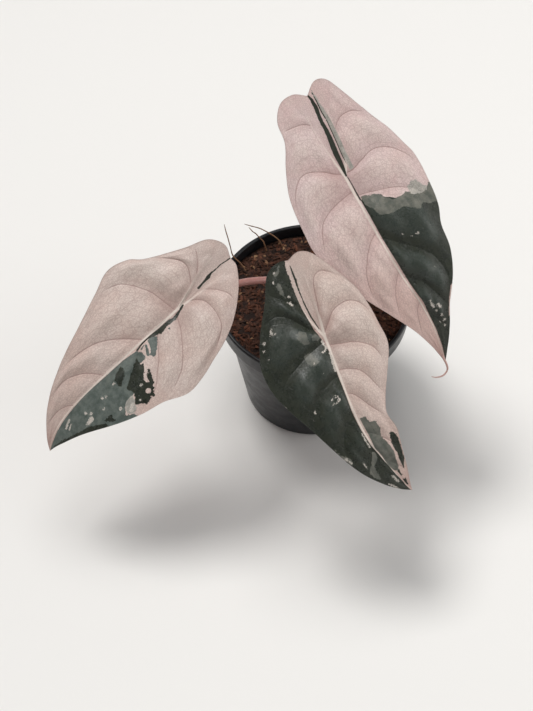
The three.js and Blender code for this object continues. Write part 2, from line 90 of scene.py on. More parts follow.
# Each blade: how it is placed and bent, and its two halves. A half has its outline, the rib that runs
# back into its lobe, and its veins from the notch to the tip. A vein is (start, path, end, rise, edge):
# start is -1 to 0 along the lobe's rib, or mm along the midrib; end is where it meets the outline;
# rise is the height of the dome between it and the next vein; edge lifts the outline there.
# painted_dome_sheen is how far the dark parts are greyed on the tops of the domes: a painted sheen.
BLADES = {
    "left": {
        "tint": (0.99, 0.995, 0.99), "grey_tint": (1.0, 1.0, 1.0), "painted_dome_sheen": 0.3, "warmth": 0.25,
        "joint": (-78, -52, 138),
        "heading": -142, "dip": 34.7, "roll": -20,
        "reach": 118, "droop": 30, "rear": 10, "turn": (-1.5, -7), "sweep": 43, "sweep_power": 5,
        "midrib": [(0, 0), (20, 1.2), (45, 2.4), (70, 2.8), (90, 2.1), (118, 0)],
        "halves": [
            {
                "side": 1, "fold": 16, "curl": 28,
                "outline": [
                    (-42, 0), (-41, 7), (-32, 18), (-17, 29), (0, 36), (13, 41), (26, 43),
                    (40, 38), (55, 35), (72, 29), (90, 20), (107, 10), (118, 0),
                ],
                "lobe_rib": [(0, 0), (-12, 1.8), (-24, 3.4), (-34, 5)],
                "veins": [
                    (-1, [], (-42, 0), 0.1, 0.0),
                    (-0.97, [(-37, 8)], (-38.5, 11), 0.5, 0.0),
                    (-0.55, [(-24, 9), (-27, 16)], (-26, 23), 0.8, -0.4),
                    (-0.22, [(-11, 4), (-14, 8.5), (-14.5, 15), (-13, 22), (-10, 27), (-4, 31)], (6, 38.4), 1.7, 0.0),
                    (3, [(6, 10), (10, 17), (14, 23), (19, 29), (26, 33.5)], (38, 38.7), 1.1, 0.3),
                    (16, [(20, 6), (27, 17), (32, 22), (39, 29)], (53, 35.4), 0.8, -0.3),
                    (30, [(34, 5), (39, 9), (45, 13), (54, 18.5)], (74, 28), 1.0, 0.2),
                    (56, [(61, 7), (68, 11)], (88, 21), 0.8, 0.0),
                    (84, [(89, 4.5), (94, 7)], (103, 12.3), 0.4, 0.0),
                    (118, [], (118, 0), 0.0, 0.0),
                ],
            },
            {
                "side": -1, "fold": 8, "curl": 6,
                "outline": [
                    (-42, 0), (-45, -8), (-40, -17), (-27, -23), (-12, -31), (4, -40), (18, -43),
                    (32, -37), (50, -29), (70, -21), (88, -13), (105, -5), (118, 0),
                ],
                "lobe_rib": [(0, 0), (-12, -3.4), (-22, -6.4), (-34, -7.5)],
                "veins": [
                    (-1, [], (-42, 0), 0.1, 0.0),
                    (-0.97, [(-39, -9.5)], (-44.3, -12), 0.5, 0.0),
                    (-0.62, [(-26, -11), (-30, -16)], (-32, -20.8), 0.9, -0.5),
                    (-0.42, [(-17.5, -8.5), (-20.3, -13), (-20.5, -18), (-17, -24)], (-9, -32.6), 2.5, -0.6),
                    (2, [(4, -8), (6, -16), (9, -22), (14, -29), (20, -33.5)], (33, -36.6), 1.7, 0.4),
                    (27, [(32, -3), (38, -8), (44, -12), (51, -15), (61, -17)], (78, -17.6), 1.4, -0.3),
                    (58, [(62, -2), (66, -6), (71, -9), (78, -11.5)], (92, -11.2), 0.9, 0.2),
                    (84, [(88, -1), (94, -3.5)], (105, -5), 0.4, 0.0),
                    (118, [], (118, 0), 0.0, 0.0),
                ],
            },
        ],
        "layers": [
            ("grey", [
                [
                    (34.5, 4.2), (43, 3.4), (60, 3.6), (80, 3.3), (99, 2.7), (110, 1.9), (117, 0.4),
                    (121, 3), (100, 24), (60, 42), (56, 36), (58, 32), (63, 29.5), (61, 28),
                    (59.5, 25.5), (56, 24.5), (49, 23), (47, 19), (42, 14), (37.5, 9),
                ],
                [
                    (19, 5), (21.5, 8.2), (24, 11), (26.5, 13.5), (28.5, 13.8), (29, 11.9),
                    (27.3, 9.5), (26.2, 6.5), (25.5, 3.6), (23, 3.2),
                ],
                [(28, 5.4, 0.7), (29.2, 8.6, 0.8), (30.1, 10.9, 0.7)],
                [(34.5, 4), (33, 6), (32, 8.7), (32, 11), (34.5, 12), (37, 12.4), (37.5, 10), (36.6, 6.9)],
                [(31.4, 5.3, 0.6), (29.1, 4.6, 0.5)],
            ]),
            ("dark", [
                [
                    (-3, 0.8), (0.5, 2.6), (4, 4.2), (7, 4.5), (9.3, 5.2), (10.9, 4.3), (13.8, 5.3),
                    (16.4, 6), (17.6, 6), (18, 4.9), (20.3, 4.5), (22.4, 3.8), (25, 3.1), (29.6, 3.4),
                    (34, 4.7), (34.6, 3.6), (29, 2.3), (22, 2), (15, 2), (8.4, 1.7), (6.3, 2.4), (1.9, 1.4),
                ],
                [(11.3, 6.6, 0.7)],
                [
                    (36.9, 7.4), (37.4, 10.1), (36.7, 12.3), (35.1, 12.5), (35.8, 14.6), (37.4, 17.1),
                    (39.6, 19), (41, 20.8), (40.7, 23.4), (39, 24), (38.7, 26.5), (38.9, 28.6),
                    (40.7, 28.6), (40.8, 31.5), (41.9, 32.8), (43, 31.9), (43.1, 29.6), (44.7, 32),
                    (46.7, 32.6), (49.2, 32.8), (50, 31), (53.3, 29.4), (54.3, 28.2), (52.6, 26.2),
                    (50.2, 23.7), (50.9, 20.8), (52.5, 18.4), (49.4, 16), (46, 13.6), (42.6, 11.1),
                ],
                [
                    (34.9, 16.9), (34.2, 18.3), (35.5, 21), (36.6, 23.8), (37.3, 26.2), (39.2, 26.1),
                    (38.6, 23.6), (38.7, 21.3), (36.7, 19.2),
                ],
                [
                    (47.1, 5.7), (46.2, 7.2), (47.2, 9.5), (48.4, 11.6), (51.1, 13.1), (53.7, 15),
                    (55, 13.6), (54.2, 11.1), (55.2, 9.9), (53.5, 8.7), (50.7, 6.4), (48.8, 6.5),
                ],
                [(69, 23.2), (70, 25.5), (68.9, 28), (71.2, 27.6), (74.2, 25.1), (75.8, 23), (72.8, 22.8)],
                [
                    (76, 24.5), (79.5, 22.4), (86, 18.8), (94, 15.4), (102, 11.3), (110, 6), (117, 0.8),
                    (121, 2), (104, 16), (88, 26), (76, 31),
                ],
            ]),
            ("wash", [
                [
                    (51.5, 23.4), (52, 26), (53.9, 28.2), (54.5, 30.7), (57, 31.7), (60.5, 31.1),
                    (60.7, 28.6), (59.9, 26.2), (57.3, 23.8), (54.4, 23.2),
                ],
            ]),
            ("cream", [
                [(55.5, 27.5, 1.0), (58, 29.5, 1.1)],
                [(44.1, 22.4, 0.9)], [(49.9, 28.5, 0.5)], [(56.3, 11.3, 0.9)], [(65, 13.5, 0.8)],
                [(67.5, 12.4, 0.8)], [(70.4, 18.1, 0.8)], [(81.7, 11.9, 1.0)], [(79, 14.1, 0.8)],
                [(81.2, 16.6, 1.4), (84.4, 17, 1.1)], [(86.7, 16.5, 0.6)], [(62.5, 24.5, 1.1)],
                [(92.9, 5.6, 0.5), (99, 6.9, 0.6)], [(94, 8.2, 0.4), (98, 8.8, 0.4)],
            ]),
            ("pink", [[(42.9, 27.5, 1.6)]]),
            ("line", [
                [
                    (-41.8, -0.1, 0.3), (-38.9, -0.5, 0.3), (-35.6, -1.3, 0.35), (-31.5, -1.3, 0.3),
                    (-27.9, -1.7, 0.45), (-25.2, -1.2, 1.2), (-23.1, -1, 0.8), (-19.7, -0.8, 0.55),
                    (-16.6, -0.5, 0.75),
                ],
                [(-3, 0.7, 0.7), (-0.7, 1.5, 0.8)],
            ]),
        ],
    },
    "rear": {
        "tint": (1.0, 0.955, 1.01), "grey_tint": (1.2, 1.0, 0.92), "painted_dome_sheen": 0.35, "warmth": 0.8,
        "joint": (16, 1, 196),
        "heading": -45, "dip": 45, "roll": 18,
        "reach": 126, "droop": 30, "rear": 8, "turn": (-6, -3), "sweep": 6, "sweep_power": 1,
        "midrib": [(0, 0), (35, 0.4), (65, 1.4), (85, 3.4), (105, 3.2), (127, 0)],
        "halves": [
            {
                "side": 1, "fold": 4, "curl": 24,
                "outline": [
                    (-51, 0), (-57, 7), (-55, 14), (-45, 20), (-28, 29), (-12, 38), (6, 44), (24, 44),
                    (40, 42), (52, 37), (66, 35), (80, 29), (95, 19), (110, 11), (120, 4.5), (127, 0),
                ],
                "lobe_rib": [(0, 0), (-6, 3), (-14, 5), (-27, 6.2), (-40, 7)],
                "veins": [
                    (-1, [], (-51, 0), 0.1, 0.0),
                    (-0.97, [(-46, 10)], (-56.4, 11), 0.6, 0.0),
                    (-0.68, [(-31, 10), (-33, 14), (-33, 20)], (-29, 28.5), 1.5, 0.0),
                    (-0.06, [(-2, 6), (-5, 13), (-8, 22), (-5, 32), (3, 38.5)], (14, 44.3), 1.4, 0.0),
                    (12, [(15, 12), (19, 24), (26, 34)], (40, 42), 3.0, 0.0),
                    (40, [(44.5, 6.5), (48, 9.5), (53.5, 15.1), (61.5, 21.8), (69, 25)], (84, 27), 3.0, 0.6),
                    (66, [(71, 7), (78, 12)], (97, 18), 1.7, -0.4),
                    (90, [(95, 6), (100, 8)], (110, 11), 0.5, 0.0),
                    (127, [], (127, 0), 0.0, 0.0),
                ],
            },
            {
                "side": -1, "fold": 10, "curl": 14,
                "outline": [
                    (-51, 0), (-55, -8), (-53, -17), (-44, -23), (-32, -24), (-18, -30), (-3, -35),
                    (15, -37), (30, -37), (47, -31), (64, -25), (81, -16), (97, -8), (112, -3), (127, 0),
                ],
                "lobe_rib": [(0, 0), (-10, -1.9), (-20, -3.8), (-30, -5.2), (-40, -6)],
                "veins": [
                    (-1, [], (-51, 0), 0.1, 0.0),
                    (-0.97, [(-46, -9)], (-54.6, -13), 0.5, 0.0),
                    (-0.88, [(-37.5, -11), (-38, -17)], (-38, -23.5), 1.4, 0.2),
                    (-0.06, [(-4, -5), (-8, -11), (-11, -19), (-10, -25), (-4, -30.5)], (7, -36.2), 1.7, 0.0),
                    (9, [(11, -11), (14, -20), (20, -27)], (38, -34.6), 2.5, 0.0),
                    (36, [(40, -6), (48, -13), (57, -18)], (72, -20.8), 2.3, 0.2),
                    (62, [(67, -3.5), (74, -8)], (88, -12.2), 0.8, 0.0),
                    (84, [(89, -1), (95, -3)], (104, -5.3), 0.4, 0.0),
                    (127, [], (127, 0), 0.0, 0.0),
                ],
            },
        ],
        "layers": [
            ("dark", [
                [
                    (15.5, 1.6), (40, 1.9), (52, 2.3), (63, 2.9), (74, 3.5), (81, 4.3), (85, 5),
                    (96, 4.5), (104, 4.2), (115, 2.8), (126, 0.4), (131, 0), (131, 50), (36, 52),
                    (38, 44), (36, 36), (30, 30), (24, 20), (16, 8),
                ],
            ]),
            ("grey", [
                [
                    (14, 2.4), (14.2, 4.6), (15.5, 7), (16, 10), (18, 13.3), (20, 14.2), (22, 15.5),
                    (24.3, 18.5), (24.3, 22), (25, 25), (24, 27.5), (25, 30), (28, 32), (27.5, 36),
                    (27.8, 40), (26, 43), (28, 50), (38, 48), (38, 41), (37, 36.5), (34.6, 34.5),
                    (35.4, 31.4), (37.2, 29.5), (36, 28), (34.3, 26.1), (33.1, 24), (30.8, 21.7),
                    (30.4, 19.2), (31.1, 16.7), (30.6, 13.6), (29.4, 10.2), (28.5, 7.4), (26.6, 5.7),
                    (23.5, 5.5), (21.3, 4), (19.2, 2.5),
                ],
            ]),
            ("wash", [
                [
                    (-53, 3.2, 0.4), (-46.4, 3.9, 0.7), (-40, 4.6, 1.0), (-34, 5.2, 1.2), (-27, 5.6, 1.2),
                    (-20.5, 5.5, 1.3), (-13.6, 5.3, 1.2), (-7, 5.7, 1.2), (-4, 5.6, 1.4),
                ],
                [
                    (26, 29.5), (22, 30), (20, 33.5), (20.5, 36), (23, 37.5), (26, 39), (27, 41.5),
                    (29.5, 40), (29.5, 36.5), (28.5, 33.5), (28, 31),
                ],
            ]),
            ("cream", [
                [(48.2, 20.9, 0.9)], [(48.1, 17.4, 0.5)], [(44.4, 13.3, 0.5)], [(70.7, 20.9, 0.6)],
                [(88.4, 8.3, 0.7), (91, 9, 0.8)], [(91.4, 11.6, 1.0), (93.5, 12.6, 0.7)],
                [(94.2, 9.4, 0.7)], [(98.1, 10.9, 0.8)], [(101.9, 11.1, 0.9)], [(102.1, 8.2, 0.6)],
                [(105.6, 9.9, 0.7)], [(86.5, 8.6, 0.6)],
            ]),
            ("pink", [[(86, 24.7, 0.6), (94, 19.9, 0.8), (102, 15.2, 0.5)]]),
            ("line", [
                [
                    (-50.7, 0.5, 0.6), (-47.9, 1.3, 0.9), (-43.3, 1.7, 1.2), (-38.5, 1.4, 1.1),
                    (-34.2, 1.2, 1.1), (-30, 1.6, 1.2), (-25, 1.7, 1.4), (-20, 1.4, 1.6),
                    (-14.8, 1.1, 1.6), (-9.7, 1.2, 1.4), (-5.4, 1.1, 1.1), (-0.5, 0.9, 0.5),
                ],
                [
                    (-52.7, 3.1, 0.3), (-46.4, 3.5, 0.35), (-38.8, 3.7, 0.3), (-34, 4.3, 0.25),
                    (-27, 4.3, 0.25), (-20, 4.2, 0.25), (-13, 3.9, 0.25), (-7, 4, 0.2),
                ],
                [(0.5, 1.2, 0.3), (4.6, 1.5, 0.3), (10.8, 1.5, 0.4), (15.4, 1.6, 0.5)],
            ]),
        ],
        "drip_tip": {
            "start": 122,
            "path": [
                (0, 0, 0), (6, 0, -0.6), (9.5, -1, -1.4), (11.5, -4.5, -2.6), (10.5, -8.5, -3.2), (8.5, -11, -3.4),
            ],
            "radii": (0.75, 0.35),
        },
    },
    "front": {
        "tint": (0.93, 0.925, 0.91), "grey_tint": (1.2, 1.0, 0.94), "painted_dome_sheen": 0.3, "warmth": 0.3,
        "joint": (7, -79, 150),
        "heading": -47, "dip": 40.4, "roll": 14,
        "reach": 107, "droop": 30, "rear": 12, "turn": (-6.5, -11), "sweep": 45, "sweep_power": 3,
        "midrib": [(0, 0), (20, -0.3), (45, -0.7), (65, 0.2), (85, 1.8), (106, 0)],
        "halves": [
            {
                "side": 1, "fold": 8, "curl": 34,
                "outline": [
                    (-48, 0), (-50, 7), (-46, 14), (-33, 22), (-16, 30), (2, 33), (16, 34), (30, 28),
                    (42, 22), (54, 16.5), (66, 17.5), (80, 14), (94, 8.5), (106, 0),
                ],
                "lobe_rib": [(0, 0), (-12, 2.1), (-22, 3.2), (-36, 4.8)],
                "veins": [
                    (-1, [], (-48, 0), 0.1, 0.0),
                    (-0.97, [(-41, 8.5)], (-49, 10.5), 0.6, 0.0),
                    (
                        -0.3, [(-17, 4.1), (-24, 5.8), (-31, 7.8), (-34.3, 10.5), (-35, 14.5), (-32, 19)],
                        (-25, 26), 1.6, 0.0,
                    ),
                    (-0.05, [(-6.5, 5.5), (-11, 10), (-13, 16), (-13, 22), (-9, 27.5)], (0, 32.7), 2.9, -0.4),
                    (5, [(7, 8), (8, 13), (10, 18), (14, 23.5), (20, 26.5)], (30, 28), 1.6, -1.2),
                    (20, [(22, 7), (27, 13.5)], (44, 21), 1.2, -2.2),
                    (34, [(36, 3), (40, 6), (47, 10)], (56, 16.4), 0.9, 0.8),
                    (58, [(62, 4.5), (67, 8.5)], (78, 14.6), 0.9, 0.6),
                    (80, [(84, 5)], (94, 8.5), 0.4, 0.0),
                    (106, [], (106, 0), 0.0, 0.0),
                ],
            },
            {
                "side": -1, "fold": 4, "curl": 24,
                "outline": [
                    (-48, 0), (-49, -7), (-45, -15), (-31, -23), (-16, -33), (0, -40), (16, -40),
                    (30, -35), (45, -27), (58, -21), (75, -14), (90, -7), (106, 0),
                ],
                "lobe_rib": [(0, 0), (-12, -3.8), (-24, -5.8), (-36, -6.5)],
                "veins": [
                    (-1, [], (-48, 0), 0.1, 0.0),
                    (-0.97, [(-41, -9)], (-47.4, -12), 0.7, 0.0),
                    (-0.62, [(-27, -11), (-32, -16)], (-36, -20.2), 1.6, 0.0),
                    (-0.14, [(-8, -6.5), (-12, -9.5), (-19, -15), (-22, -21)], (-20, -30.4), 2.6, 0.0),
                    (2, [(5, -9), (7, -14), (11, -22), (16, -30)], (25, -37.2), 2.6, 0.4),
                    (23, [(26, -9), (32, -18)], (46, -26.5), 1.8, -0.4),
                    (46, [(50, -6), (56, -12)], (68, -17), 1.1, 0.3),
                    (68, [(73, -4), (78, -7.5)], (86, -9), 0.6, 0.0),
                    (106, [], (106, 0), 0.0, 0.0),
                ],
            },
        ],
        "layers": [
            ("dark", [
                [
                    (-48.5, -2.1), (-45.9, -3.1), (-39.3, -3.7), (-32.7, -4.3), (-26.6, -4.7),
                    (-19.8, -4.9), (-12.7, -4.5), (-6.2, -3.9), (-1.3, -3), (2, -1.8), (8, -1.1),
                    (30, -1.3), (45, -1.6), (56, -1.3), (66, -0.4), (74, 1), (84, 1.8), (94, 1.4),
                    (106, -0.6), (110, -4), (92, -14), (0, -48), (-60, -20), (-58, -4),
                ],
                [
                    (65.6, 13.4), (67.6, 15.1), (69.5, 15.8), (75.3, 15), (79.6, 13.7), (84.5, 12.2),
                    (88.8, 9.9), (91.8, 7.3), (86.7, 8), (82.6, 9.4), (80, 10.3), (75.5, 10.1),
                    (71.5, 11), (68, 11.4),
                ],
                [(90, 4, 0.8), (94, 3.4, 0.6)], [(97, 2.6, 0.8), (101, 1.6, 0.6)], [(93, 0.6, 1.0), (99, 0.2, 0.8)],
            ]),
            ("grey", [
                [
                    (49.8, 0.9), (50.2, 4.3), (53.9, 5.1), (54.9, 8.5), (60.1, 9.3), (65.3, 7.4),
                    (71.4, 8.9), (77.1, 9.1), (84.7, 7.1), (90, 5), (88.7, 2.5), (83.3, 1.7), (75.2, 2),
                    (69.5, 0.9), (64.3, 1.3), (61.7, 1.5), (55.7, 1.2),
                ],
                [
                    (-39.1, -11.4), (-37.6, -9.6), (-35.1, -10.8), (-32.3, -10.3), (-28.7, -10.7),
                    (-30.5, -11.8), (-34, -12.6), (-36.8, -13.2),
                ],
                # These three grey patches on the dark half's domes are partly grey markings and partly painted
                # highlights of the domes.
                [(-3.2, -7.2), (-4.1, -4.9), (-2.3, -3.8), (-0.5, -2.7), (0.4, -5.1), (-0.8, -7.7)],
                [(-8, -15), (-9, -11.5), (-7, -9.5), (-3.5, -9.5), (0.5, -9.8), (0, -13), (-3, -15)],
                [(6, -15.5), (5.5, -12), (8, -9.5), (12.5, -9), (13.5, -13), (11, -15.5)],
                [
                    (70.6, -1.6), (71.6, -0.1), (74.3, -0.4), (76.5, -1.2), (77.1, -3.2), (77.8, -5.1),
                    (79.4, -5.7), (82.3, -5.7), (86, -6.6), (84.4, -8.3), (82.1, -9.4), (79.3, -9.3),
                    (77.6, -7.2), (75.2, -4.7), (72.5, -2.8),
                ],
                [(58.6, -19.9), (62.7, -18.2), (67.1, -14.6), (69.7, -14.3), (70.7, -15.6), (64.5, -18.6)],
                [(-48, -6, 0.7), (-45, -8, 0.9), (-43, -11, 0.6)],
            ]),
            ("cream", [
                [(-29, -8.7, 0.8)], [(-25.7, -9.6, 0.7), (-24.2, -9.1, 0.6)], [(-26.5, -11.2, 0.4)],
                [(-49.8, -7.6, 0.5), (-50.1, -5.6, 0.5)], [(-44.9, -10.6, 0.5)], [(-40, -13.5, 0.7)],
                [(-16.6, -26, 0.5), (-13.5, -27.5, 0.6)], [(-13.1, -25.2, 0.6)], [(-11.2, -33, 0.9)],
                [(-7.2, -34.9, 0.7)], [(-0.9, -34.4, 0.4)], [(37.3, -21.4, 0.7)], [(40.4, -24, 0.6)],
                [(29.3, -36.2, 0.7)], [(12, -11.6, 0.5)], [(19, -9.6, 0.5)],
                [(1.5, -2.4, 0.5), (4.1, -2.2, 0.6), (6.1, -1.8, 0.5), (7.8, -3.7, 0.5), (7.9, -5, 0.4)],
                [(9.2, -0.9, 0.5), (12.8, -1.2, 0.6), (15.6, -1.6, 0.6), (20.2, -1.9, 0.5)],
                [(34.2, -10.2, 0.3), (33.2, -6.7, 0.5), (35.4, -5.7, 0.5), (37, -7.7, 0.4), (36.9, -10.8, 0.3)],
                [(66, -16.8, 0.4), (69.4, -15, 0.4)],
                [(72.7, -9.4, 0.4), (76.2, -9.1, 0.4)], [(58.7, -1.9, 0.4), (63.3, -1.7, 0.4), (67.5, -1.3, 0.4)],
                [(91.4, -5.3, 0.4), (94.5, -4.2, 0.5), (99, -3.9, 0.4)], [(89.2, -0.5, 0.4), (94.8, -0.4, 0.5)],
            ]),
            ("line", [
                [
                    (-44.7, -0.4, 0.25), (-40, -0.8, 0.5), (-36.2, -1, 0.7), (-33.3, -1.5, 0.5),
                    (-28.5, -1.9, 0.35), (-23.6, -2.2, 0.35), (-18.6, -2.2, 0.4), (-13.5, -2.1, 0.45),
                    (-10, -1.5, 0.4), (-5.5, -1, 0.25),
                ],
            ]),
        ],
    },
}

# Stalk paths from the corm to the joint (mm)
STALKS = {
    "left": [
        (-4.4, 0.4, 84), (-7.2, -1, 97), (-16, -5.5, 109), (-28.9, -12, 117.5),
        (-44.6, -22.5, 126.5), (-61, -37.5, 133.5), (-78, -52, 138),
    ],
    "rear": [(2.3, 4, 84), (3.2, 6.5, 104), (6, 10.5, 132), (10.5, 11.5, 160), (14.5, 8, 182), (16, 1, 196)],
    "front": [(2.1, -4, 84), (3, -8.5, 98), (4.6, -22, 113), (5.8, -42, 127), (6.6, -62, 140), (7, -79, 150)],
}

HUSKS = {"husk_left": 128, "husk_right": -14}

STRANDS = {
    "coir_strand_1": [
        (-43, 25, 80.95), (-46.3, 27, 86), (-51.2, 30, 90), (-52.9, 32.3, 96),
        (-54.9, 36.1, 102), (-56.8, 39.9, 108),
    ],
    "coir_strand_2": [
        (-20.2, 45.2, 80.95), (-23.2, 47, 86), (-28, 48.6, 89.4), (-33.3, 51, 91),
        (-39.5, 52.4, 92), (-45.2, 53.9, 92.5),
    ],
    "coir_strand_3": [
        (-30.5, 42, 80.8), (-32.6, 44.2, 87), (-36.5, 46.8, 90.2), (-39.5, 48.5, 91.8), (-42, 50.7, 93),
    ],
}


# Curves, distances and noise, as whole arrays


def smoothstep(low, high, x):
    """3k^2 - 2k^3, where k is how far x is from low to high, held between 0 and 1."""
    k = np.clip((np.asarray(x, float) - low) / (high - low), 0, 1)
    return k * k * (3 - 2 * k)


def along(line, fractions):
    """The places at those fractions of a polyline's length."""
    steps = np.linalg.norm(np.diff(line, axis=0), axis=1)
    run = np.concatenate([[0], np.cumsum(steps)])
    return np.stack([np.interp(fractions * run[-1], run, line[:, i]) for i in range(line.shape[1])], axis=-1)


def smooth_line(points, count):
    """count places evenly spaced on the Catmull-Rom curve through the points: between b and c it is
    half of 2b + (c - a)u + (2a - 5b + 4c - d)u^2 + (3b - 3c + d - a)u^3."""
    p = np.asarray(points, float)
    p = np.vstack([2 * p[0] - p[1], p, 2 * p[-1] - p[-2]])[:, None]
    a, b, c, d = p[:-3], p[1:-2], p[2:-1], p[3:]
    u = np.linspace(0, 1, 24, endpoint=False)[None, :, None]
    curve = 0.5 * (2 * b + (c - a) * u + (2 * a - 5 * b + 4 * c - d) * u**2 + (3 * b - 3 * c + d - a) * u**3)
    curve = np.vstack([curve.reshape(-1, p.shape[-1]), p[-2]])
    return along(curve, np.linspace(0, 1, count))


def gap_to_line(points, line):
    """Each point's distance to a polyline, less the radius that is the line's third number, if it has
    one: the least over the segments of |p - a - hd|, where h is (p - a).d / d.d held from 0 to 1."""
    line = np.asarray(line, float)
    if len(line) == 1:
        line = np.repeat(line, 2, axis=0)
    start, step = line[:-1, :2], np.diff(line[:, :2], axis=0)
    offset = points[:, None] - start
    h = np.clip((offset * step).sum(-1) / np.maximum((step * step).sum(-1), 1e-9), 0, 1)
    gap = np.linalg.norm(offset - h[..., None] * step, axis=-1)
    if line.shape[1] == 3:
        gap = gap - (line[:-1, 2] + h * np.diff(line[:, 2]))
    return gap.min(axis=1)


def depth_inside(points, shape):
    """How deep each point lies in a shape, negative outside it. A shape of pairs is an outline, and a
    point is inside where a ray to its right crosses the outline an odd number of times. A shape of
    threes is a stroke of changing radius."""
    shape = np.asarray(shape, float)
    if shape.shape[1] == 3:
        return -gap_to_line(points, shape)
    closed = np.vstack([shape, shape[:1]])
    gap = gap_to_line(points, closed)
    (x0, y0), (x1, y1) = closed[:-1].T, closed[1:].T
    x, y = points[:, :1], points[:, 1:]
    rise = np.where(y1 == y0, 1e-9, y1 - y0)
    crossed = ((y0 > y) != (y1 > y)) & (x < x0 + (x1 - x0) * (y - y0) / rise)
    return np.where(crossed.sum(axis=1) % 2 == 1, gap, -gap)


def ripple(x, y, size, seed):
    """Smooth noise of about -1 to 1: the mean of nine plane waves, each in a random direction and
    phase, with a wavelength of 0.6 to 1.8 times size."""
    rng = np.random.default_rng(seed)
    turn, phase, stretch = rng.uniform(0, 2 * np.pi, 9), rng.uniform(0, 2 * np.pi, 9), rng.uniform(0.6, 1.8, 9)
    wave = 2 * np.pi / (size * stretch)
    x, y = np.asarray(x)[..., None], np.asarray(y)[..., None]
    return np.sin(wave * (x * np.cos(turn) + y * np.sin(turn)) + phase).mean(axis=-1) * 2


# Meshes


def grid_quads(rows, columns, wrap=False):
    """Corner numbers of the quads of a grid with that many points each way, joined round if wrap."""
    i, j = np.meshgrid(np.arange(rows - 1), np.arange(columns - (0 if wrap else 1)), indexing="ij")
    k = (j + 1) % columns
    here, next_row = i * columns, (i + 1) * columns
    return np.stack([here + j, here + k, next_row + k, next_row + j], -1).reshape(-1, 4)


def make_object(name, points, faces, material, corner_maps=None, point_values=None, sharp=None):
    """A smooth mesh object at the origin, from points in mm and one or more arrays of faces."""
    mesh = bpy.data.meshes.new(name)
    faces = [np.asarray(f) for f in (faces if isinstance(faces, list) else [faces])]
    mesh.vertices.add(len(points))
    mesh.vertices.foreach_set("co", (np.asarray(points, float) * MM).ravel())
    corners = np.concatenate([f.ravel() for f in faces])
    sizes = np.concatenate([np.full(len(f), f.shape[1]) for f in faces])
    mesh.loops.add(len(corners))
    mesh.loops.foreach_set("vertex_index", corners)
    mesh.polygons.add(len(sizes))
    mesh.polygons.foreach_set("loop_start", np.concatenate([[0], np.cumsum(sizes)[:-1]]))
    for label, values in (corner_maps or {}).items():
        mesh.uv_layers.new(name=label).uv.foreach_set("vector", np.asarray(values, float).ravel())
    for label, values in (point_values or {}).items():
        mesh.attributes.new(label, "FLOAT", "POINT").data.foreach_set("value", np.asarray(values, float))
    mesh.update(calc_edges=True)
    mesh.validate()
    smooth(mesh, sharp)
    mesh.materials.append(material)
    piece = bpy.data.objects.new(name, mesh)
    bpy.context.scene.collection.objects.link(piece)
    return piece


def smooth(mesh, sharp=None):
    """Smooth shading, with hard edges where faces meet at more than sharp degrees."""
    mesh.polygons.foreach_set("use_smooth", np.ones(len(mesh.polygons), bool))
    if sharp:
        mesh.set_sharp_from_angle(angle=math.radians(sharp))


def make_piece(name, node, slot, *build, **extras):
    """An object that rides on the plant and takes the place of a CAD node."""
    piece = make_object(name, *build, **extras)
    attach(piece, "root")
    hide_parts(node)
    return piece


def ring_faces(rows, columns):
    """Quads between rings that follow each other, and fans that close the first and the last ring on
    the two poles that come after them."""
    side = np.arange(columns)
    on = (side + 1) % columns
    pole, last = rows * columns, (rows - 1) * columns
    caps = np.concatenate([
        np.stack([np.full(columns, pole), on, side], -1),
        np.stack([np.full(columns, pole + 1), last + side, last + on], -1),
    ])
    return [grid_quads(rows, columns, True), caps]


def tube(path, radii, sides, beside=(0.3, 0.5, 0.8)):
    """A closed tube: each point of the path carries a ring of radius radii[row, side], square to the
    path and turned so that its first point is on the side away from beside. Both ends close on a pole."""
    ahead = np.gradient(path, axis=0)
    ahead /= np.linalg.norm(ahead, axis=1, keepdims=True)
    first = np.cross(ahead, beside)
    first /= np.linalg.norm(first, axis=1, keepdims=True)
    second = np.cross(ahead, first)
    turn = np.linspace(0, 2 * np.pi, sides, endpoint=False)[None, :, None]
    ring = first[:, None] * np.cos(turn) + second[:, None] * np.sin(turn)
    radii = np.broadcast_to(np.asarray(radii, float).reshape(len(path), -1), (len(path), sides))
    points = path[:, None] + ring * radii[..., None]
    return np.vstack([points.reshape(-1, 3), path[:1], path[-1:]]), ring_faces(len(path), sides)


def bundle(tubes):
    """Several tubes as one mesh, each one's faces counted on from the points before it."""
    points, sides, caps, first = [], [], [], 0
    for ring, (quads, fans) in tubes:
        points.append(ring)
        sides.append(quads + first)
        caps.append(fans + first)
        first += len(ring)
    return np.vstack(points), [np.vstack(sides), np.vstack(caps)]


def turned(profile, segments):
    """A profile of (radius, height) turned about the vertical axis. Ends on the axis close on a pole."""
    turn = np.linspace(0, 2 * np.pi, segments, endpoint=False)
    ring = profile[1:-1]
    points = np.stack([
        ring[:, :1] * np.cos(turn), ring[:, :1] * np.sin(turn), np.broadcast_to(ring[:, 1:], (len(ring), segments)),
    ], -1).reshape(-1, 3)
    poles = np.array([[0, 0, profile[0, 1]], [0, 0, profile[-1, 1]]])
    return np.vstack([points, poles]), ring_faces(len(ring), segments)


def rounded(profile, radius, steps=5):
    """A profile whose inner corners are eased: each corner c becomes (1-u)^2 a + 2u(1-u) c + u^2 b,
    where a and b lie on its two sides, at the radius or two fifths of the side from it."""
    p = np.asarray(profile, float)
    before, after = p[:-2] - p[1:-1], p[2:] - p[1:-1]
    long_before, long_after = (np.linalg.norm(v, axis=1, keepdims=True) for v in (before, after))
    a = p[1:-1] + before / long_before * np.minimum(radius, 0.4 * long_before)
    b = p[1:-1] + after / long_after * np.minimum(radius, 0.4 * long_after)
    u = np.linspace(0, 1, steps)[None, :, None]
    eased = (1 - u) ** 2 * a[:, None] + 2 * u * (1 - u) * p[1:-1][:, None] + u**2 * b[:, None]
    return np.vstack([p[:1], eased.reshape(-1, 2), p[-1:]])


# Finishes


